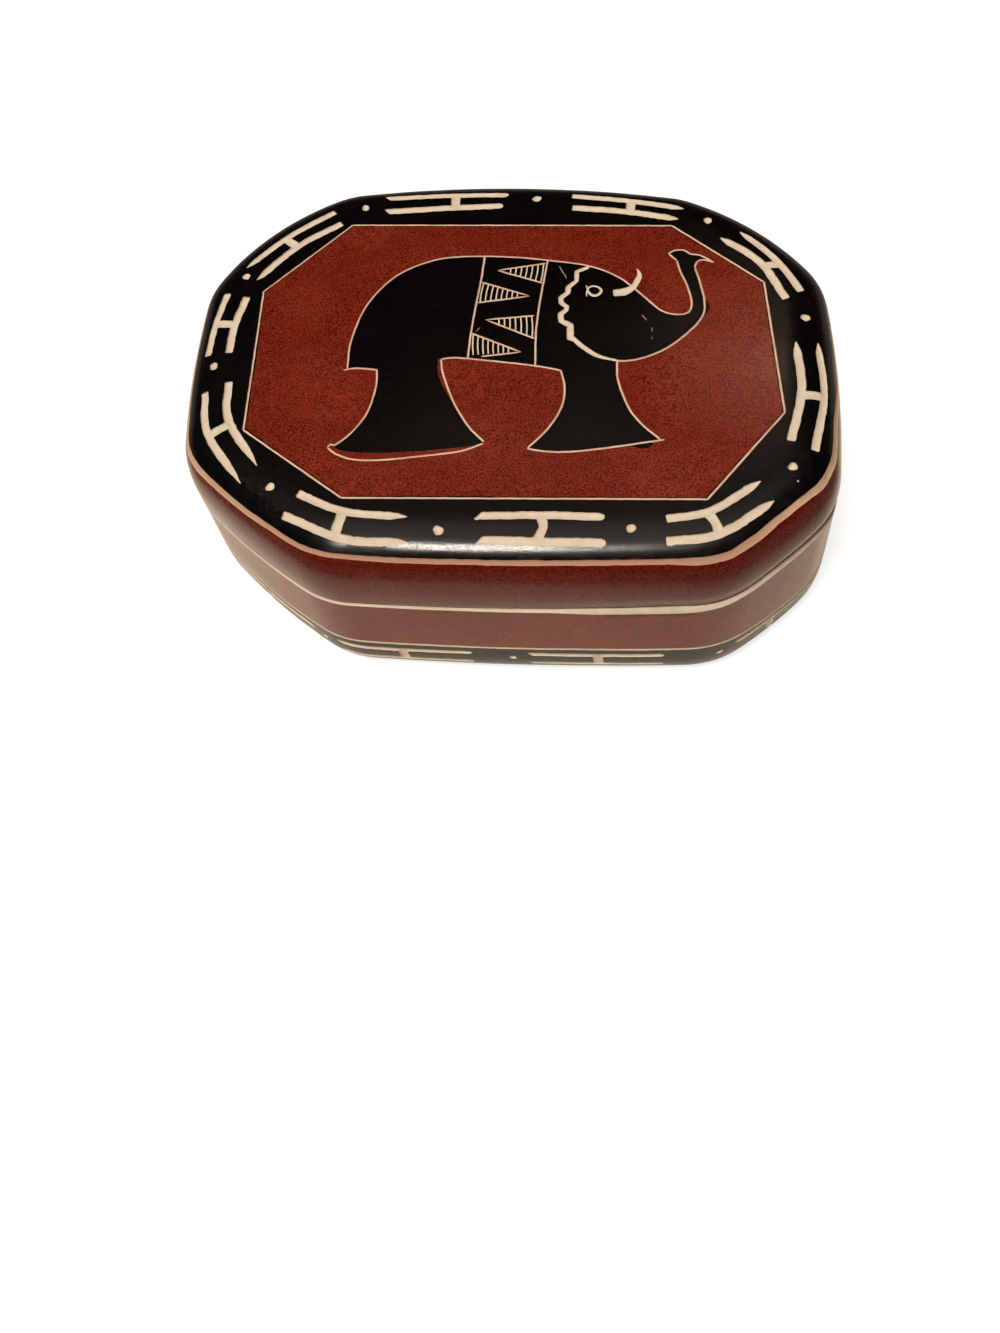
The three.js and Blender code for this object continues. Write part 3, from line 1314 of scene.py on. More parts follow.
def grain_group() -> bpy.types.NodeTree:
    """Bare soapstone: chalky, faintly clouded, with pits and the marks of the tool.

    Returns:
        The group. Its outputs are Colour and Height, in millimetres.
    """
    colours = dict.fromkeys(("Body", "Stain", "Pits"), "Color")
    inputs = {"Place": "Vector", **colours, "Stained": "Float"}
    recipe, given, sink = new_group(Group.GRAIN, inputs, {"Colour": "Color", "Height": "Float"})
    fine = recipe.noise(given["Place"], scale=3.2, detail=4.0, roughness=0.7)
    broad = recipe.noise(given["Place"], scale=0.35, detail=3.0, roughness=0.6)
    stain = recipe.times(recipe.ramp(broad, 0.36, 0.7), given["Stained"])
    pits = recipe.ramp(fine, 0.36, 0.29)
    colour = recipe.mix(stain, given["Body"], given["Stain"])
    colour = recipe.mix(recipe.times(pits, 0.7), colour, given["Pits"])
    height = recipe.times(recipe.math("SUBTRACT", fine, pits), 0.05)
    recipe.feed(sink, {"Colour": colour, "Height": height})
    return recipe.tree


def wax_group() -> bpy.types.NodeTree:
    """A rubbed wax skin: satin, with the stone's fine pores and faint rasp lines showing through.

    Returns:
        The group. Its outputs are Roughness and Height, in millimetres.
    """
    inputs = {"Place": "Vector", "Gloss": "Float", "Pores": "Float"}
    recipe, given, sink = new_group(Group.WAX, inputs, {"Roughness": "Float", "Height": "Float"})
    smear = recipe.noise(given["Place"], scale=0.12, detail=3.0, roughness=0.6)
    pores = recipe.noise(given["Place"], scale=3.6, detail=3.0, roughness=0.6)
    along_rasp = recipe.vectors("MULTIPLY", given["Place"], (0.25, 2.0, 2.0))[0]
    rasp = recipe.noise(along_rasp, scale=1.0, detail=2.0, roughness=0.5)
    pits = recipe.ramp(pores, 0.44, 0.36)
    rough = recipe.math("MULTIPLY_ADD", recipe.math("SUBTRACT", smear, 0.5), 0.07, given["Gloss"])
    rough = recipe.math("MULTIPLY_ADD", recipe.math("SUBTRACT", pores, 0.5), 0.08, rough)
    rough = recipe.math("MULTIPLY_ADD", pits, 0.05, rough)
    height = recipe.times(recipe.math("SUBTRACT", pores, pits), given["Pores"])
    height = recipe.math("MULTIPLY_ADD", rasp, 0.012, height)
    recipe.feed(sink, {"Roughness": rough, "Height": height})
    return recipe.tree


def group(kind: Group) -> bpy.types.NodeTree:
    """Shader node group of a kind, which is built the first time."""
    builders = {Group.MOTTLE: mottle_group, Group.GRAIN: grain_group, Group.WAX: wax_group}
    return bpy.data.node_groups.get(kind.value) or builders[kind]()


def new_material(name: str) -> tuple[bpy.types.Material, Recipe, bpy.types.Node]:
    """Starts a material.

    Args:
        name: Its name.

    Returns:
        The material, its recipe and its output's node.
    """
    material = bpy.data.materials.new(name)
    material.use_nodes = True
    recipe = Recipe(material.node_tree)
    return material, recipe, recipe.add("OutputMaterial")


class Dyeing(Enum):
    """Which part of the box is dyed, since the black lies elsewhere on each."""

    LID = "lid"
    BASE = "base"


@dataclass(frozen=True)
class DyedStone:
    """The waxed outside: red-brown dye, with black over it."""

    part: Dyeing
    red: Colour = shade(131, 41, 22)
    # Dark red of the dye's specks, which also serves as the painted shade on the walls
    red_specks_and_shade: Colour = shade(66, 13, 7)
    red_pale: Colour = shade(164, 68, 44)
    black: Colour = shade(4, 3, 3)
    black_dark: Colour = shade(2, 2, 2)
    black_pale: Colour = shade(9, 7, 7)
    gloss: float = 0.11
    black_gloss: float = 0.19
    pores: float = 0.018
    specks: float = 1.0
    specular: float = 0.42
    coat: float = 0.03
    coat_roughness: float = 0.07
    fringe: float = 0.42
    # Painted shade: shares by which the red is darkened on the lid's wall and on the base
    wall_shade: float = 0.45
    base_shade: float = 0.2
    relief: float = 0.8
    clouds: float = 0.3
    black_specks: float = 0.6
    black_clouds: float = 0.6
    brush: float = 0.9
    foot_brush: float = 0.3

    def build(self) -> bpy.types.Material:
        """Makes the material.

        Returns:
            The material.
        """
        material, recipe, sink = new_material(f"{self.part.value}_dyed_stone")
        place = recipe.millimetres()
        brushed = recipe.noise(place, scale=0.3, detail=3.0, roughness=0.55)
        mask = self.mask(recipe, recipe.math("SUBTRACT", brushed, 0.5))
        colours = dict(Body=self.red, Dark=self.red_specks_and_shade, Pale=self.red_pale)
        amounts = dict(Specks=self.specks, Clouds=self.clouds)
        red = recipe.use(Group.MOTTLE, Place=place, **colours, **amounts)["Colour"]
        colours = dict(Body=self.black, Dark=self.black_dark, Pale=self.black_pale)
        amounts = dict(Specks=self.black_specks, Clouds=self.black_clouds)
        black = recipe.use(Group.MOTTLE, Place=place, **colours, **amounts)["Colour"]
        # Painted shade: the red is mixed towards its dark tone on the lid's wall and on the base
        colour = recipe.mix(mask, recipe.mix(self.painted_wall_shade(recipe), red, self.red_specks_and_shade), black)
        gloss = recipe.math("MULTIPLY_ADD", mask, self.black_gloss - self.gloss, self.gloss)
        wax = recipe.use(Group.WAX, Place=place, Gloss=gloss, Pores=self.pores)
        looks = {"Base Color": colour, "Roughness": wax["Roughness"], "Specular IOR Level": self.specular}
        coat = {"Coat Weight": self.coat, "Coat Roughness": self.coat_roughness}
        surface = recipe.add("BsdfPrincipled", looks | coat)
        recipe.emboss(surface, wax["Height"], self.relief)
        recipe.feed(sink, {"Surface": surface.outputs["BSDF"]})
        return material

    def painted_wall_shade(self, recipe: Recipe) -> Socket | float:
        """Finds how far the red is darkened as painted shade: on the lid's wall, and a little on the base.

        Args:
            recipe: The material's recipe.

        Returns:
            The share of the red's dark tone that is painted on as shade.
        """
        if self.part is Dyeing.BASE:
            return self.base_shade
        return recipe.times(recipe.ramp(recipe.measure("shoulder_depth"), 0.5, -0.5), self.wall_shade)

    def mask(self, recipe: Recipe, stray: Socket) -> Socket:
        """Finds where the piece is black, along lines that the brush strays from.

        The lid is black on its shoulder, up to just inside the incised octagon, and on the figure. The base
        is black below the line round its foot.

        Args:
            recipe: The material's recipe.
            stray: Random values on either side of 0.

        Returns:
            The mask.
        """
        if self.part is Dyeing.BASE:
            below = recipe.math("MULTIPLY_ADD", stray, self.foot_brush, recipe.measure("foot_depth"))
            return recipe.edge(below)
        above = recipe.math("MULTIPLY_ADD", stray, self.brush / 2, recipe.measure("shoulder_depth"))
        within = recipe.math("MULTIPLY_ADD", stray, self.brush, recipe.measure("field_depth"))
        figure = recipe.math("MULTIPLY_ADD", stray, self.brush / 4, recipe.measure("figure_depth"))
        border = recipe.times(recipe.edge(above, soft=0.06), recipe.edge(within, self.fringe, soft=-0.04))
        return recipe.math("MAXIMUM", border, recipe.edge(figure))


@dataclass(frozen=True)
class BareStone:
    """Stone that the tool has laid bare.

    Attributes:
        name: The material's name.
        clean: Where along the length it is clean and where it is stained, as distances from the middle.
        body: Its colour.
        stain: Its colour in clouds, and where it isn't clean.
        pits: Its colour in the pits.
        stained: Strength of the clouds.
        roughness: How dull it is.
    """

    name: str
    clean: Point | None = None
    body: Colour = shade(223, 209, 190)
    stain: Colour = shade(211, 191, 168)
    pits: Colour = shade(150, 112, 84)
    stained: float = 0.6
    roughness: float = 0.72

    def build(self) -> bpy.types.Material:
        """Makes the material.

        Returns:
            The material.
        """
        material, recipe, sink = new_material(self.name)
        place = recipe.millimetres()
        colours = dict(Body=self.body, Stain=self.stain, Pits=self.pits)
        if self.clean is not None:
            aside = recipe.vectors("LENGTH", recipe.vectors("MULTIPLY", place, (1.0, 0.0, 0.0))[0])["Value"]
            colours["Body"] = recipe.mix(recipe.ramp(aside, *self.clean), self.body, self.stain)
        grain = recipe.use(Group.GRAIN, Place=place, **colours, Stained=self.stained)
        looks = {"Base Color": grain["Colour"], "Roughness": self.roughness}
        surface = recipe.add("BsdfPrincipled", looks)
        recipe.emboss(surface, grain["Height"], 1.0)
        recipe.feed(sink, {"Surface": surface.outputs["BSDF"]})
        return material


# Bare stone in the order of its zones: gouged, scraped lightly with red dye left in its pores, hollowed out
# and never waxed, and cut in the finest lines, where a little of the red has run in
BARE_STONES = (
    BareStone("gouged_stone"),
    BareStone(
        "scraped_stone",
        clean=(62.0, 30.0),
        body=shade(214, 180, 150),
        stain=shade(190, 142, 116),
        pits=shade(150, 84, 62),
        stained=0.4,
    ),
    BareStone(
        "hollowed_stone",
        body=shade(206, 184, 162),
        stain=shade(190, 160, 136),
        pits=shade(140, 108, 86),
        roughness=0.85,
    ),
    BareStone("incised_stone", body=shade(222, 196, 176), stain=shade(208, 164, 142), stained=0.8),
)


# The two bodies


@dataclass(frozen=True)
class Shell:
    """What the lid and the base have in common as pieces of stone.

    Each adds its rings, the levels of their two ends, its ornament, where a tool meets it and its measures.

    Attributes:
        node: The CAD node that the piece replaces, which is also its body.
        slot: Name of a material slot for the piece; not used.
        seed: Seed of the carver's unsteadiness.
        dyed: Finish of the outside.
        outline: Outline of both.
        seat: Hollows and seat of both.
        points: Number of points in each ring.
        spacing: Distance between rings where the surface shows.
        ripple: How far the rasped outside strays from its true shape.
        ripple_size: Distance from one ripple to the next.
        levelled: Share of the ripple that is rubbed away where the surface faces straight up.
        fine_ripple: Strength of the finer ripples among them, which are a third of the size.
        flatness: How suddenly the levelling sets in.
        sharp: Angle from which an edge is shaded as a sharp one, in degrees.
        closing: Size of the ring that closes a level face, as a share of the ring before it.
        start_scale: Size of the innermost ring of a level face, as a share of its edge.
        line_points: Number of points at which a line round the outline is measured.
    """

    node: str
    slot: str
    seed: int
    dyed: DyedStone
    outline: Outline = Outline()
    seat: Seat = Seat()
    points: int = 400
    spacing: float = 0.85
    ripple: float = 0.07
    ripple_size: float = 13.0
    levelled: float = 0.92
    fine_ripple: float = 0.35
    flatness: int = 6
    sharp: float = 34.0
    closing: float = 0.02
    start_scale: float = 0.1
    line_points: int = 240

    def body(self) -> bmesh.types.BMesh:
        """Extrudes the outline from ring to ring into one closed body.

        Returns:
            The body.
        """
        rings = self.rings()
        bm = bmesh.new()
        ring = first = bmesh.ops.create_circle(bm, segments=self.points, radius=1.0)["verts"]
        for place, vert in zip(self.places(rings[0]), ring):
            vert.co = place
        for step in rings[1:]:
            ring, faces = grow(bm, ring, self.places(step))
            mark(faces, step.zone)
        for end, height, zone in zip((first, ring), self.levels, (rings[0].zone, rings[-1].zone)):
            middle = Vector((0, 0, height))
            closing, faces = grow(bm, end, [middle.lerp(vert.co, self.closing) for vert in end])
            mark(faces, zone)
            bmesh.ops.pointmerge(bm, verts=closing, merge_co=middle)
        bmesh.ops.recalc_face_normals(bm, faces=bm.faces)
        return bm

    def places(self, ring: Ring) -> list[Vector]:
        """Works out where the points of a ring are.

        Args:
            ring: The ring.

        Returns:
            The points.
        """
        places = []
        for along in self.outline.stations(self.points):
            filed, tuck, lift = self.seat.rim(along, self.outline.total)
            x, y = self.outline.place(along, ring.inset + ring.tuck * tuck)
            height = ring.height - ring.filed * filed + ring.lift * lift
            places.append(Vector((x * ring.scale, y * ring.scale, height)))
        return places

    def weather(self, bm: bmesh.types.BMesh) -> None:
        """Gives the dyed outside the slight unevenness of hand rasping.

        Args:
            bm: The body.
        """
        bm.normal_update()
        moved = []
        for vert in bm.verts:
            if all(face.material_index == Zone.DYED.value for face in vert.link_faces):
                fine = self.fine_ripple * noise.noise(vert.co / (self.ripple_size / 3))
                level = 1 - self.levelled * max(0.0, vert.normal.z) ** self.flatness
                height = self.ripple * level * (noise.noise(vert.co / self.ripple_size) + fine)
                moved.append((vert, vert.normal * height))
        for vert, shift in moved:
            vert.co += shift

    def above(self, mesh: bpy.types.Mesh, line: Callable[[float, float], float]) -> np.ndarray:
        """Measures how far each point of a mesh lies above a line that runs round the outline.

        Args:
            mesh: The mesh, in millimetres.
            line: Gives the line's height, from the distance along the outline and the outline's length.

        Returns:
            The distances, negative below the line.
        """
        outline = self.outline
        stations = outline.stations(self.line_points)
        bearings = np.array([math.atan2(y, x) for x, y in (outline.place(s, 0.0) for s in stations)])
        heights = np.array([line(s, outline.total) for s in stations])
        x, y, z = positions(mesh).T
        return z - np.interp(np.arctan2(y, x), bearings, heights, period=FULL_TURN)

    def build(self) -> bpy.types.Object:
        """Makes the piece: shapes its body, carves the ornament, and gives it its finishes.

        Returns:
            The piece.
        """
        bm = self.body()
        self.weather(bm)
        surface = BVHTree.FromBMesh(bm)
        piece = new_object(f"carved_{self.node}", bm)
        show(piece)
        piece.data.materials.append(self.dyed.build())
        for bare in BARE_STONES:
            piece.data.materials.append(bpy.data.materials.get(bare.name) or bare.build())
        carver = Carver(partial(self.meet, surface), self.seed)
        carver.add(self.ornament())
        carver.cut(piece)
        self.measure(piece.data)
        self.finish(piece, self.node)
        return piece

    def finish(self, piece: bpy.types.Object, node: str) -> None:
        """Smooths the shading, turns millimetres into metres and ties the piece to the frame.

        Args:
            piece: The carved piece.
            node: The CAD node that it replaces, which is also its body.
        """
        mesh = piece.data
        mesh.shade_smooth()
        mesh.set_sharp_from_angle(angle=math.radians(self.sharp))
        mesh.transform(Matrix.Scale(MM, 4))
        mesh.update()
        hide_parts(node)
        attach(piece, node)
        log.info("%s: %d faces", piece.name, len(mesh.polygons))


@dataclass(frozen=True)
class Lid(Shell):
    """The lift-off lid, with its rolled black shoulder and the carved field."""

    node: str = "lid"
    slot: str = "lid_stone"
    seed: int = 11
    dyed: DyedStone = DyedStone(Dyeing.LID)
    wall_height: float = 1.3
    shoulder: Roll = Roll(11.5, 13.1, 3.0)
    crown: float = 0.8
    ceiling: float = 6.0
    ceiling_fillet: float = 3.5
    # Heights above the rim at which the front's tuck and the seam's rise have faded out
    tuck_height: float = 4.2
    lift_height: float = 6.5
    crown_rings: int = 44
    ceiling_spacing: float = 4.0
    plumb_from: float = 60.0
    rim_round: float = 0.2
    rim_blend: float = 0.7
    band_sway: float = 0.12
    # The scraped band's inset and width, and the height of the black's lower edge
    band_line: Survey = Survey(
        (
            (-110.0, 1.8, 1.6), (-70.0, 1.85, 1.6), (-58.0, 2.0, 1.25), (-46.0, 2.25, 1.05),
            (-34.0, 2.6, 0.95), (-22.0, 2.45, 1.0), (8.0, 2.5, 1.0), (26.0, 2.5, 0.95), (32.0, 2.4, 1.45),
            (38.0, 2.35, 1.45), (44.0, 2.6, 1.7), (50.0, 2.9, 1.4), (56.0, 2.85, 1.45), (62.0, 2.45, 1.7),
            (75.0, 1.9, 1.7), (92.0, 0.85, 1.2), (122.0, 0.85, 1.2), (150.0, 1.8, 1.2), (210.0, 2.0, 1.3),
        )
    )
    black_line: Survey = Survey(
        (
            (-110.0, 34.6), (-70.0, 35.2), (-46.0, 35.95), (-30.0, 36.1), (8.0, 36.2), (26.0, 36.35),
            (38.0, 36.25), (50.0, 36.4), (62.0, 36.1), (75.0, 35.7), (90.0, 33.6), (125.0, 33.6),
            (150.0, 35.2), (210.0, 34.8),
        )
    )
    field: Field = Field()
    elephant: Elephant = Elephant()

    @property
    def shoulder_foot(self) -> float:
        """Height where the shoulder starts to roll over."""
        return self.seat.lid_rim + self.wall_height

    @property
    def field_height(self) -> float:
        """Height of the field's edge."""
        return self.shoulder_foot + self.shoulder.rise

    @property
    def ceiling_height(self) -> float:
        """Height of the hollow's ceiling."""
        return self.field_height + self.crown - self.ceiling

    @property
    def levels(self) -> Point:
        """Heights of the ceiling and of the field, in their middles."""
        return self.ceiling_height, self.field_height + self.crown

    def rings(self) -> list[Ring]:
        """Lays out the rings from the middle of the ceiling, down its wall and over the outside to the field.

        Returns:
            The rings.
        """
        seat = self.seat
        level, fillet = self.ceiling_height, self.ceiling_fillet
        rings = [Ring(seat.wall + fillet, level, Zone.INSIDE, scale=self.start_scale)]
        rings += straight(rings[-1], Ring(seat.wall + fillet, level, Zone.INSIDE), self.ceiling_spacing)
        for inset, rise in reversed(Roll(fillet, fillet).steps(self.spacing)[:-1]):
            rings.append(Ring(seat.wall + inset, level - fillet + rise, Zone.INSIDE))
        rebate_top = seat.lip_top + seat.headroom
        rebate = seat.lip_inset - seat.clearance
        rings += [
            Ring(seat.wall, rebate_top, Zone.INSIDE),
            Ring(rebate, rebate_top, Zone.INSIDE),
            Ring(rebate, seat.lid_rim + seat.ease, Zone.INSIDE),
            Ring(rebate - seat.ease, seat.lid_rim, Zone.INSIDE),
            Ring(self.rim_round, seat.lid_rim, Zone.SCRAPED, tuck=1.0, lift=1.0),
            Ring(0.0, seat.lid_rim + self.rim_round, Zone.SCRAPED, tuck=1.0, lift=1.0),
            Ring(0.0, seat.lid_rim + self.rim_blend, Zone.DYED, tuck=0.62, lift=0.92),
        ]
        for inset, rise in self.shoulder.steps(self.spacing):
            height = self.shoulder_foot + rise
            left = max(0.0, 1 - (height - seat.lid_rim) / self.tuck_height)
            lift = max(0.0, 1 - (height - seat.lid_rim) / self.lift_height)
            rings.append(Ring(inset, height, Zone.DYED, tuck=left * left, lift=lift))
        for i in range(1, self.crown_rings):
            scale = 1 - i / self.crown_rings
            swell = self.crown * (1 + math.cos(math.pi * scale)) / 2
            rings.append(Ring(self.shoulder.inset, self.field_height + swell, Zone.DYED, scale=scale))
        return rings

    def ornament(self) -> list[Stroke | Pip | Mark]:
        """Every cut in the lid, in the order of cutting."""
        scratches = [Stroke(line, Tools.NEEDLE, (pointed(0.6), pointed(0.6))) for line in SCRATCHES]
        return [*self.field.strokes(), *self.elephant.strokes(), *MARKS, *PIPS, *scratches, self.band()]

    def meet(self, surface: BVHTree, x: float, y: float) -> tuple[Vector, Vector]:
        """Point and normal where a plumb line falls onto the lid."""
        return surface.ray_cast(Vector((x, y, self.plumb_from)), Vector((0.0, 0.0, -1.0)))[:2]

    def band(self, count: int = 128) -> Stroke:
        """Lays out the scraped band under the black shoulder.

        Args:
            count: Number of points.

        Returns:
            The stroke, in x and y.
        """
        outline, tool = self.outline, Tools.SCRAPER.value
        places, widths = [], []
        for along in outline.stations(count):
            inset, width = self.band_line.at(along, outline.total)
            places.append(outline.place(along, inset))
            widths.append(width * (1 + self.band_sway * sway(along, 6.0, (1.0, 0.0))) / tool.width)
        return Stroke(tuple(places), Tools.SCRAPER, closed=True, swell=tuple(widths))

    def measure(self, mesh: bpy.types.Mesh) -> None:
        """Keeps on the mesh how deep each point lies inside the field, the figure and the shoulder's black.

        Args:
            mesh: The carved mesh, in millimetres.
        """
        places = positions(mesh)
        inner = places[:, 2] < self.shoulder_foot
        polygons = {"field_depth": np.array(self.field.corners), "figure_depth": self.elephant.dye()}
        for name, polygon in polygons.items():
            depth = outline_depth(places[:, :2], polygon)
            depth[inner] = -abs(depth[inner])
            store(mesh, name, depth)
        store(mesh, "shoulder_depth", self.above(mesh, lambda *place: self.black_line.at(*place)[0]))


@dataclass(frozen=True)
class Base(Shell):
    """The hollow base, with its lip and the black band round its foot."""

    node: str = "base"
    slot: str = "base_stone"
    seed: int = 23
    dyed: DyedStone = DyedStone(Dyeing.BASE, specks=0.55)
    foot: Roll = Roll(5.9, 9.2, 3.0)
    floor: float = 6.5
    floor_fillet: float = 4.0
    # Where the seam's rise has faded out, the line round the foot, and how far below it the black starts
    lift_foot: float = 12.0
    line: Survey = Survey(
        (
            (-90.0, 10.6), (-20.0, 10.5), (30.0, 10.4), (55.0, 9.6), (85.0, 10.2), (130.0, 10.7),
            (200.0, 10.3),
        )
    )
    fringe: float = 0.25
    # Heights of a mark's bars, and where each mark in front starts, has its joining bar and ends
    bars: Point = (8.2, 4.5)
    front_marks: tuple[Triple, ...] = ((-37.5, -23.8, -10.2), (1.0, 14.2, 26.6), (40.5, 49.2, 62.5))
    # Marks round the back, and how much of its stretch each takes up
    hidden_marks: int = 7
    hidden_share: float = 0.7
    pip_spare: float = 3.3
    underside_spacing: float = 5.0
    floor_spacing: float = 3.0
    hollow_spacing: float = 2.0
    # The wall's last ring below the seam, and insets of the rim's filed edge, its crest and its level part
    wall_top: float = 2.0
    rim_edges: Triple = (0.3, 0.75, 1.9)
    # Insets of the line along which a tool comes in to the surface
    reach_from: Point = (-20.0, 5.0)
    marks_seed: int = 31
    line_gap: float = 7.0
    line_overlap: float = 1.0
    line_sway: float = 0.12
    line_bends: float = 4.0
    bar_stray: float = 0.12
    cross_stray: float = 0.6
    cross_lean: float = 0.4
    pip_rise: float = 0.6
    pip_size: float = 1.4

    @property
    def levels(self) -> Point:
        """Heights of the underside and of the floor."""
        return 0.0, self.floor

    def rings(self) -> list[Ring]:
        """Lays out the rings from the middle of the underside, up the outside, over the lip and to the floor.

        Returns:
            The rings.
        """
        seat, fillet = self.seat, self.floor_fillet
        filed, crest, level = self.rim_edges
        roll = self.foot.steps(self.spacing)
        rings = [Ring(self.foot.inset, 0.0, Zone.SCRAPED, scale=self.start_scale)]
        rings += straight(rings[-1], Ring(self.foot.inset, 0.0, Zone.SCRAPED), self.underside_spacing)
        rings += [Ring(inset, self.foot.rise - rise, Zone.DYED) for inset, rise in reversed(roll[:-1])]
        for ring in straight(rings[-1], Ring(0.0, seat.seam - self.wall_top, Zone.DYED), self.spacing):
            part = max(0.0, (ring.height - self.lift_foot) / (seat.seam - self.lift_foot))
            rings.append(replace(ring, lift=part))
        rings += [
            Ring(0.0, seat.seam, Zone.DYED, filed=1.0, lift=1.0),
            Ring(filed, seat.seam, Zone.GOUGED, filed=0.4, lift=1.0),
            Ring(crest, seat.seam, Zone.GOUGED, lift=1.0),
            Ring(level, seat.seam, Zone.GOUGED),
            Ring(seat.lip_inset, seat.seam, Zone.INSIDE),
            Ring(seat.lip_inset, seat.lip_top - seat.ease, Zone.INSIDE),
            Ring(seat.lip_inset + seat.ease, seat.lip_top, Zone.INSIDE),
            Ring(seat.wall - seat.ease, seat.lip_top, Zone.INSIDE),
            Ring(seat.wall, seat.lip_top - seat.ease, Zone.INSIDE),
        ]
        rings += straight(rings[-1], Ring(seat.wall, self.floor + fillet, Zone.INSIDE), self.hollow_spacing)
        for inset, rise in Roll(fillet, fillet).steps(self.spacing)[1:]:
            rings.append(Ring(seat.wall + inset, self.floor + fillet - rise, Zone.INSIDE))
        middle = Ring(rings[-1].inset, self.floor, Zone.INSIDE, scale=self.start_scale)
        rings += straight(rings[-1], middle, self.floor_spacing)
        return rings

    def meet(self, surface: BVHTree, along: float, height: float) -> tuple[Vector, Vector]:
        """Point and normal where a line square to the outline meets the base from outside."""
        outer, inner = (Vector((*self.outline.place(along, inset), height)) for inset in self.reach_from)
        return surface.ray_cast(outer, (inner - outer).normalized())[:2]

    def ornament(self) -> list[Stroke | Pip | Mark]:
        """Lays out the line round the foot, cut in two runs, and the marks and pips below it.

        Returns:
            The cuts.
        """
        total = self.outline.total
        cuts: list[Stroke | Pip | Mark] = []
        gap, overlap = self.line_gap, self.line_overlap
        runs = ((total / 2, total - (gap - overlap), 150), (total * 1.5 - gap, gap + overlap, 4))
        for start, length, count in runs:
            stations = [start + length * i / count for i in range(count + 1)]
            cuts.append(Stroke(tuple((s, self.line_at(s, total)) for s in stations), Tools.MARKER))
        hand = random.Random(self.marks_seed)

        def strays(reach: float) -> float:
            """How far the hand strays, up to a reach to either side."""
            return hand.uniform(-reach, reach)

        marks = list(self.front_marks)
        reached, goal = marks[-1][2], marks[0][0] + total
        pitch = (goal - reached) / self.hidden_marks
        for i in range(self.hidden_marks):
            end = reached + pitch * (i + 1) - pitch * (1 - self.hidden_share) / 2
            start = end - pitch * self.hidden_share
            marks.append((start, (start + end) / 2 + strays(self.cross_stray), end))
        high, low = self.bars
        tips = (BLUNT, ROUND, SLANTED, pointed(2.0))
        for start, middle, end in marks:
            top, bottom = (
                tuple((along, height + strays(self.bar_stray)) for along in (start, (start + end) / 2, end))
                for height in (high, low)
            )
            cross = ((middle, low), (middle + strays(self.cross_lean), high))
            cuts.append(Mark(top, bottom, cross, (hand.choice(tips), hand.choice(tips)), Tools.FOOT_GOUGE))
            cuts.append(Pip((start - self.pip_spare, (high + low) / 2 + self.pip_rise), size=self.pip_size))
        return cuts

    def line_at(self, along: float, total: float) -> float:
        """Height of the line above the foot's marks.

        Args:
            along: Distance along the outline from the front's middle.
            total: Length of the whole outline.

        Returns:
            The height.
        """
        turn = FULL_TURN * along / total
        stray = noise.noise(Vector((self.line_bends * math.cos(turn), self.line_bends * math.sin(turn), 2.0)))
        return self.line.at(along, total)[0] + self.line_sway * stray

    def measure(self, mesh: bpy.types.Mesh) -> None:
        """Keeps on the carved mesh how far each point lies below the line of the foot."""
        store(mesh, "foot_depth", -self.fringe - self.above(mesh, self.line_at))


# The studio


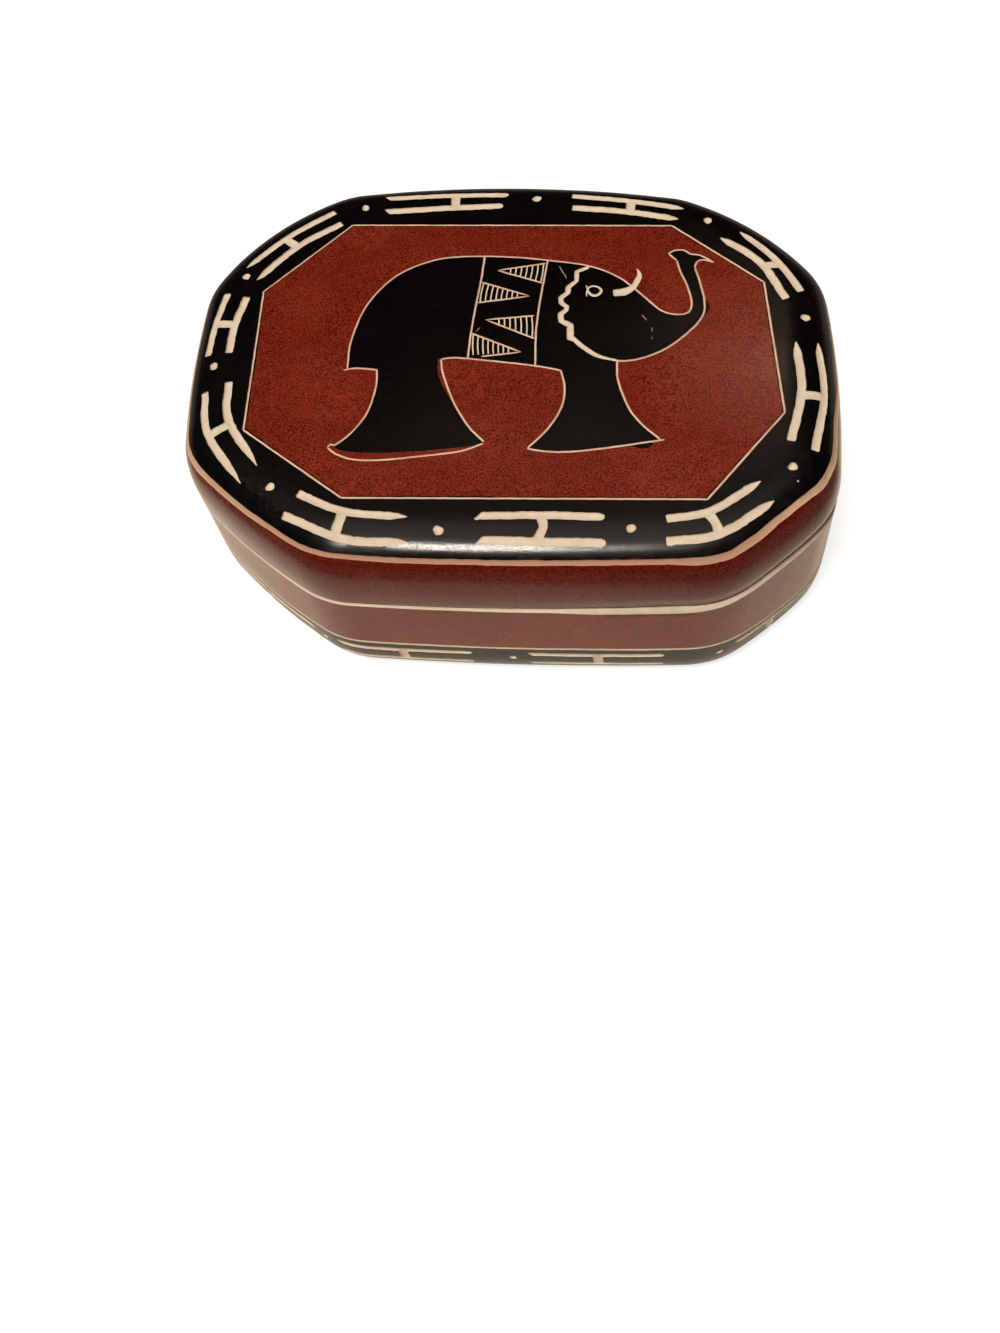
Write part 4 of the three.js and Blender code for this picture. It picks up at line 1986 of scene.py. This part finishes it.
@dataclass(frozen=True)
class Studio:
    """A pale floor in a painted pool of light, a high lamp under a soft ceiling, a small lamp behind, and the
    photograph's view.
    """

    camera_place: Triple = (0.0238, -0.158, 0.1999)
    camera_right: Triple = (0.9937, 0.0451, -0.1027)
    camera_down: Triple = (-0.0098, -0.8772, -0.4800)
    focal_pixels: float = 1150.0
    image_height: float = 1333.0
    sensor: float = 36.0
    key_direction: Triple = (-0.195, -0.335, 0.922)
    key_angle: float = 15.5
    key_strength: float = 2.7
    key_colour: Colour = (1.0, 0.92, 0.81)
    rear_direction: Triple = (0.13, 0.678, 0.7235)
    rear_angle: float = 2.2
    rear_strength: float = 0.018
    rear_colour: Colour = (1.0, 0.62, 0.42)
    ceiling_direction: Triple = (-0.03, 0.07, 0.997)
    ceiling_edge: Point = (0.82, 0.95)
    ceiling_colour: Colour = (1.0, 0.84, 0.7)
    ceiling_strength: float = 0.9
    dim_strength: float = 0.004
    # Painted pool of light on the floor: its colour near the box, its colour further off, its centre, and the
    # distances over which it fades
    pool_near_colour: Colour = (0.99, 0.895, 0.78)
    pool_far_colour: Colour = (0.2, 0.185, 0.17)
    pool_centre: Triple = (-0.012, 0.0, 0.0)
    pool_fade: Point = (0.085, 0.14)
    floor_size: float = 6.0
    floor_cells: int = 4
    floor_dullness: float = 0.9
    floor_shine: float = 0.1
    shown_grey: Colour = (0.34, 0.34, 0.34)
    shown_glow: float = 0.78
    lamp_distance: float = 2.0
    clip_start: float = 0.01

    def build(self) -> None:
        """Sets up the floor, the light and the camera."""
        self.floor()
        self.lamp("key", self.key_direction, self.key_angle, self.key_strength, self.key_colour)
        self.lamp("rear", self.rear_direction, self.rear_angle, self.rear_strength, self.rear_colour)
        self.world()
        self.camera()
        bpy.context.scene.view_settings.view_transform = "Standard"

    def floor(self) -> None:
        """Makes the floor, white to the camera, and to everything else a painted pool of light, pale near the
        box and dark further off.
        """
        bm = bmesh.new()
        cells = self.floor_cells
        bmesh.ops.create_grid(bm, x_segments=cells, y_segments=cells, size=self.floor_size / 2)
        floor = new_object("floor", bm)
        material, recipe, sink = new_material("floor_paper")
        place = recipe.add("TexCoord").outputs["Object"]
        # Painted pool of light: to all but the camera the floor is pale near the box and dark further off,
        # centred a little to the left
        reach = recipe.vectors("DISTANCE", place, self.pool_centre)["Value"]
        paper = {
            "Base Color": recipe.mix(recipe.ramp(reach, *self.pool_fade), self.pool_near_colour, self.pool_far_colour),
            "Roughness": self.floor_dullness,
            "Specular IOR Level": self.floor_shine,
        }
        shown = {
            "Base Color": self.shown_grey,
            "Specular IOR Level": 0.0,
            "Emission Color": WHITE,
            "Emission Strength": self.shown_glow,
        }
        shaders = [recipe.add("BsdfPrincipled", looks).outputs["BSDF"] for looks in (shown, paper)]
        recipe.feed(sink, {"Surface": recipe.part_views(*shaders)})
        floor.data.materials.append(material)
        show(floor)

    def lamp(self, name: str, direction: Triple, angle: float, strength: float, colour: Colour) -> None:
        """Makes a lamp that is far away.

        Args:
            name: Its name.
            direction: The direction that it stands in.
            angle: How wide it looks, in degrees.
            strength: Its strength.
            colour: Its colour.
        """
        light = bpy.data.lights.new(name, "SUN")
        light.energy = strength
        light.color = colour
        light.angle = math.radians(angle)
        lamp = bpy.data.objects.new(name, light)
        lamp.rotation_euler = Vector(direction).to_track_quat("Z", "Y").to_euler()
        lamp.location = Vector(direction) * self.lamp_distance
        show(lamp)

    def world(self) -> None:
        """Lights the scene from a soft ceiling, and shows white where the camera looks past the floor."""
        world = bpy.data.worlds.new("studio")
        bpy.context.scene.world = world
        world.use_nodes = True
        recipe = Recipe(world.node_tree)
        towards = recipe.add("TexCoord").outputs["Generated"]
        height = recipe.vectors("DOT_PRODUCT", towards, self.ceiling_direction)["Value"]
        glow = recipe.ramp(height, *self.ceiling_edge)
        strength = recipe.math("MULTIPLY_ADD", glow, self.ceiling_strength, self.dim_strength)
        looks = ({"Color": WHITE}, {"Color": self.ceiling_colour, "Strength": strength})
        shaders = [recipe.add("Background", look).outputs[0] for look in looks]
        recipe.add("OutputWorld", {"Surface": recipe.part_views(*shaders)})

    def camera(self) -> None:
        """Puts the camera where the photograph was taken from."""
        lens = bpy.data.cameras.new("camera")
        lens.sensor_width = self.sensor
        lens.lens = self.focal_pixels * self.sensor / self.image_height
        lens.clip_start = self.clip_start
        camera = bpy.data.objects.new("camera", lens)
        right = Vector(self.camera_right).normalized()
        up = -Vector(self.camera_down).normalized()
        back = right.cross(up).normalized()
        up = back.cross(right)
        turn = Matrix((right, up, back)).transposed().to_4x4()
        camera.matrix_world = Matrix.Translation(self.camera_place) @ turn
        show(camera)
        bpy.context.scene.camera = camera


def main() -> None:
    """Builds the studio and the box, and reports the size of each piece."""
    logging.basicConfig(level=logging.INFO, format="%(name)s %(message)s")
    Studio().build()
    pieces = [Base().build(), Lid().build()]
    bpy.context.view_layer.update()
    for piece in pieces:
        log.info("%s measures %s mm", piece.name, [round(side / MM, 1) for side in piece.dimensions])


if __name__ == "__main__":
    main()
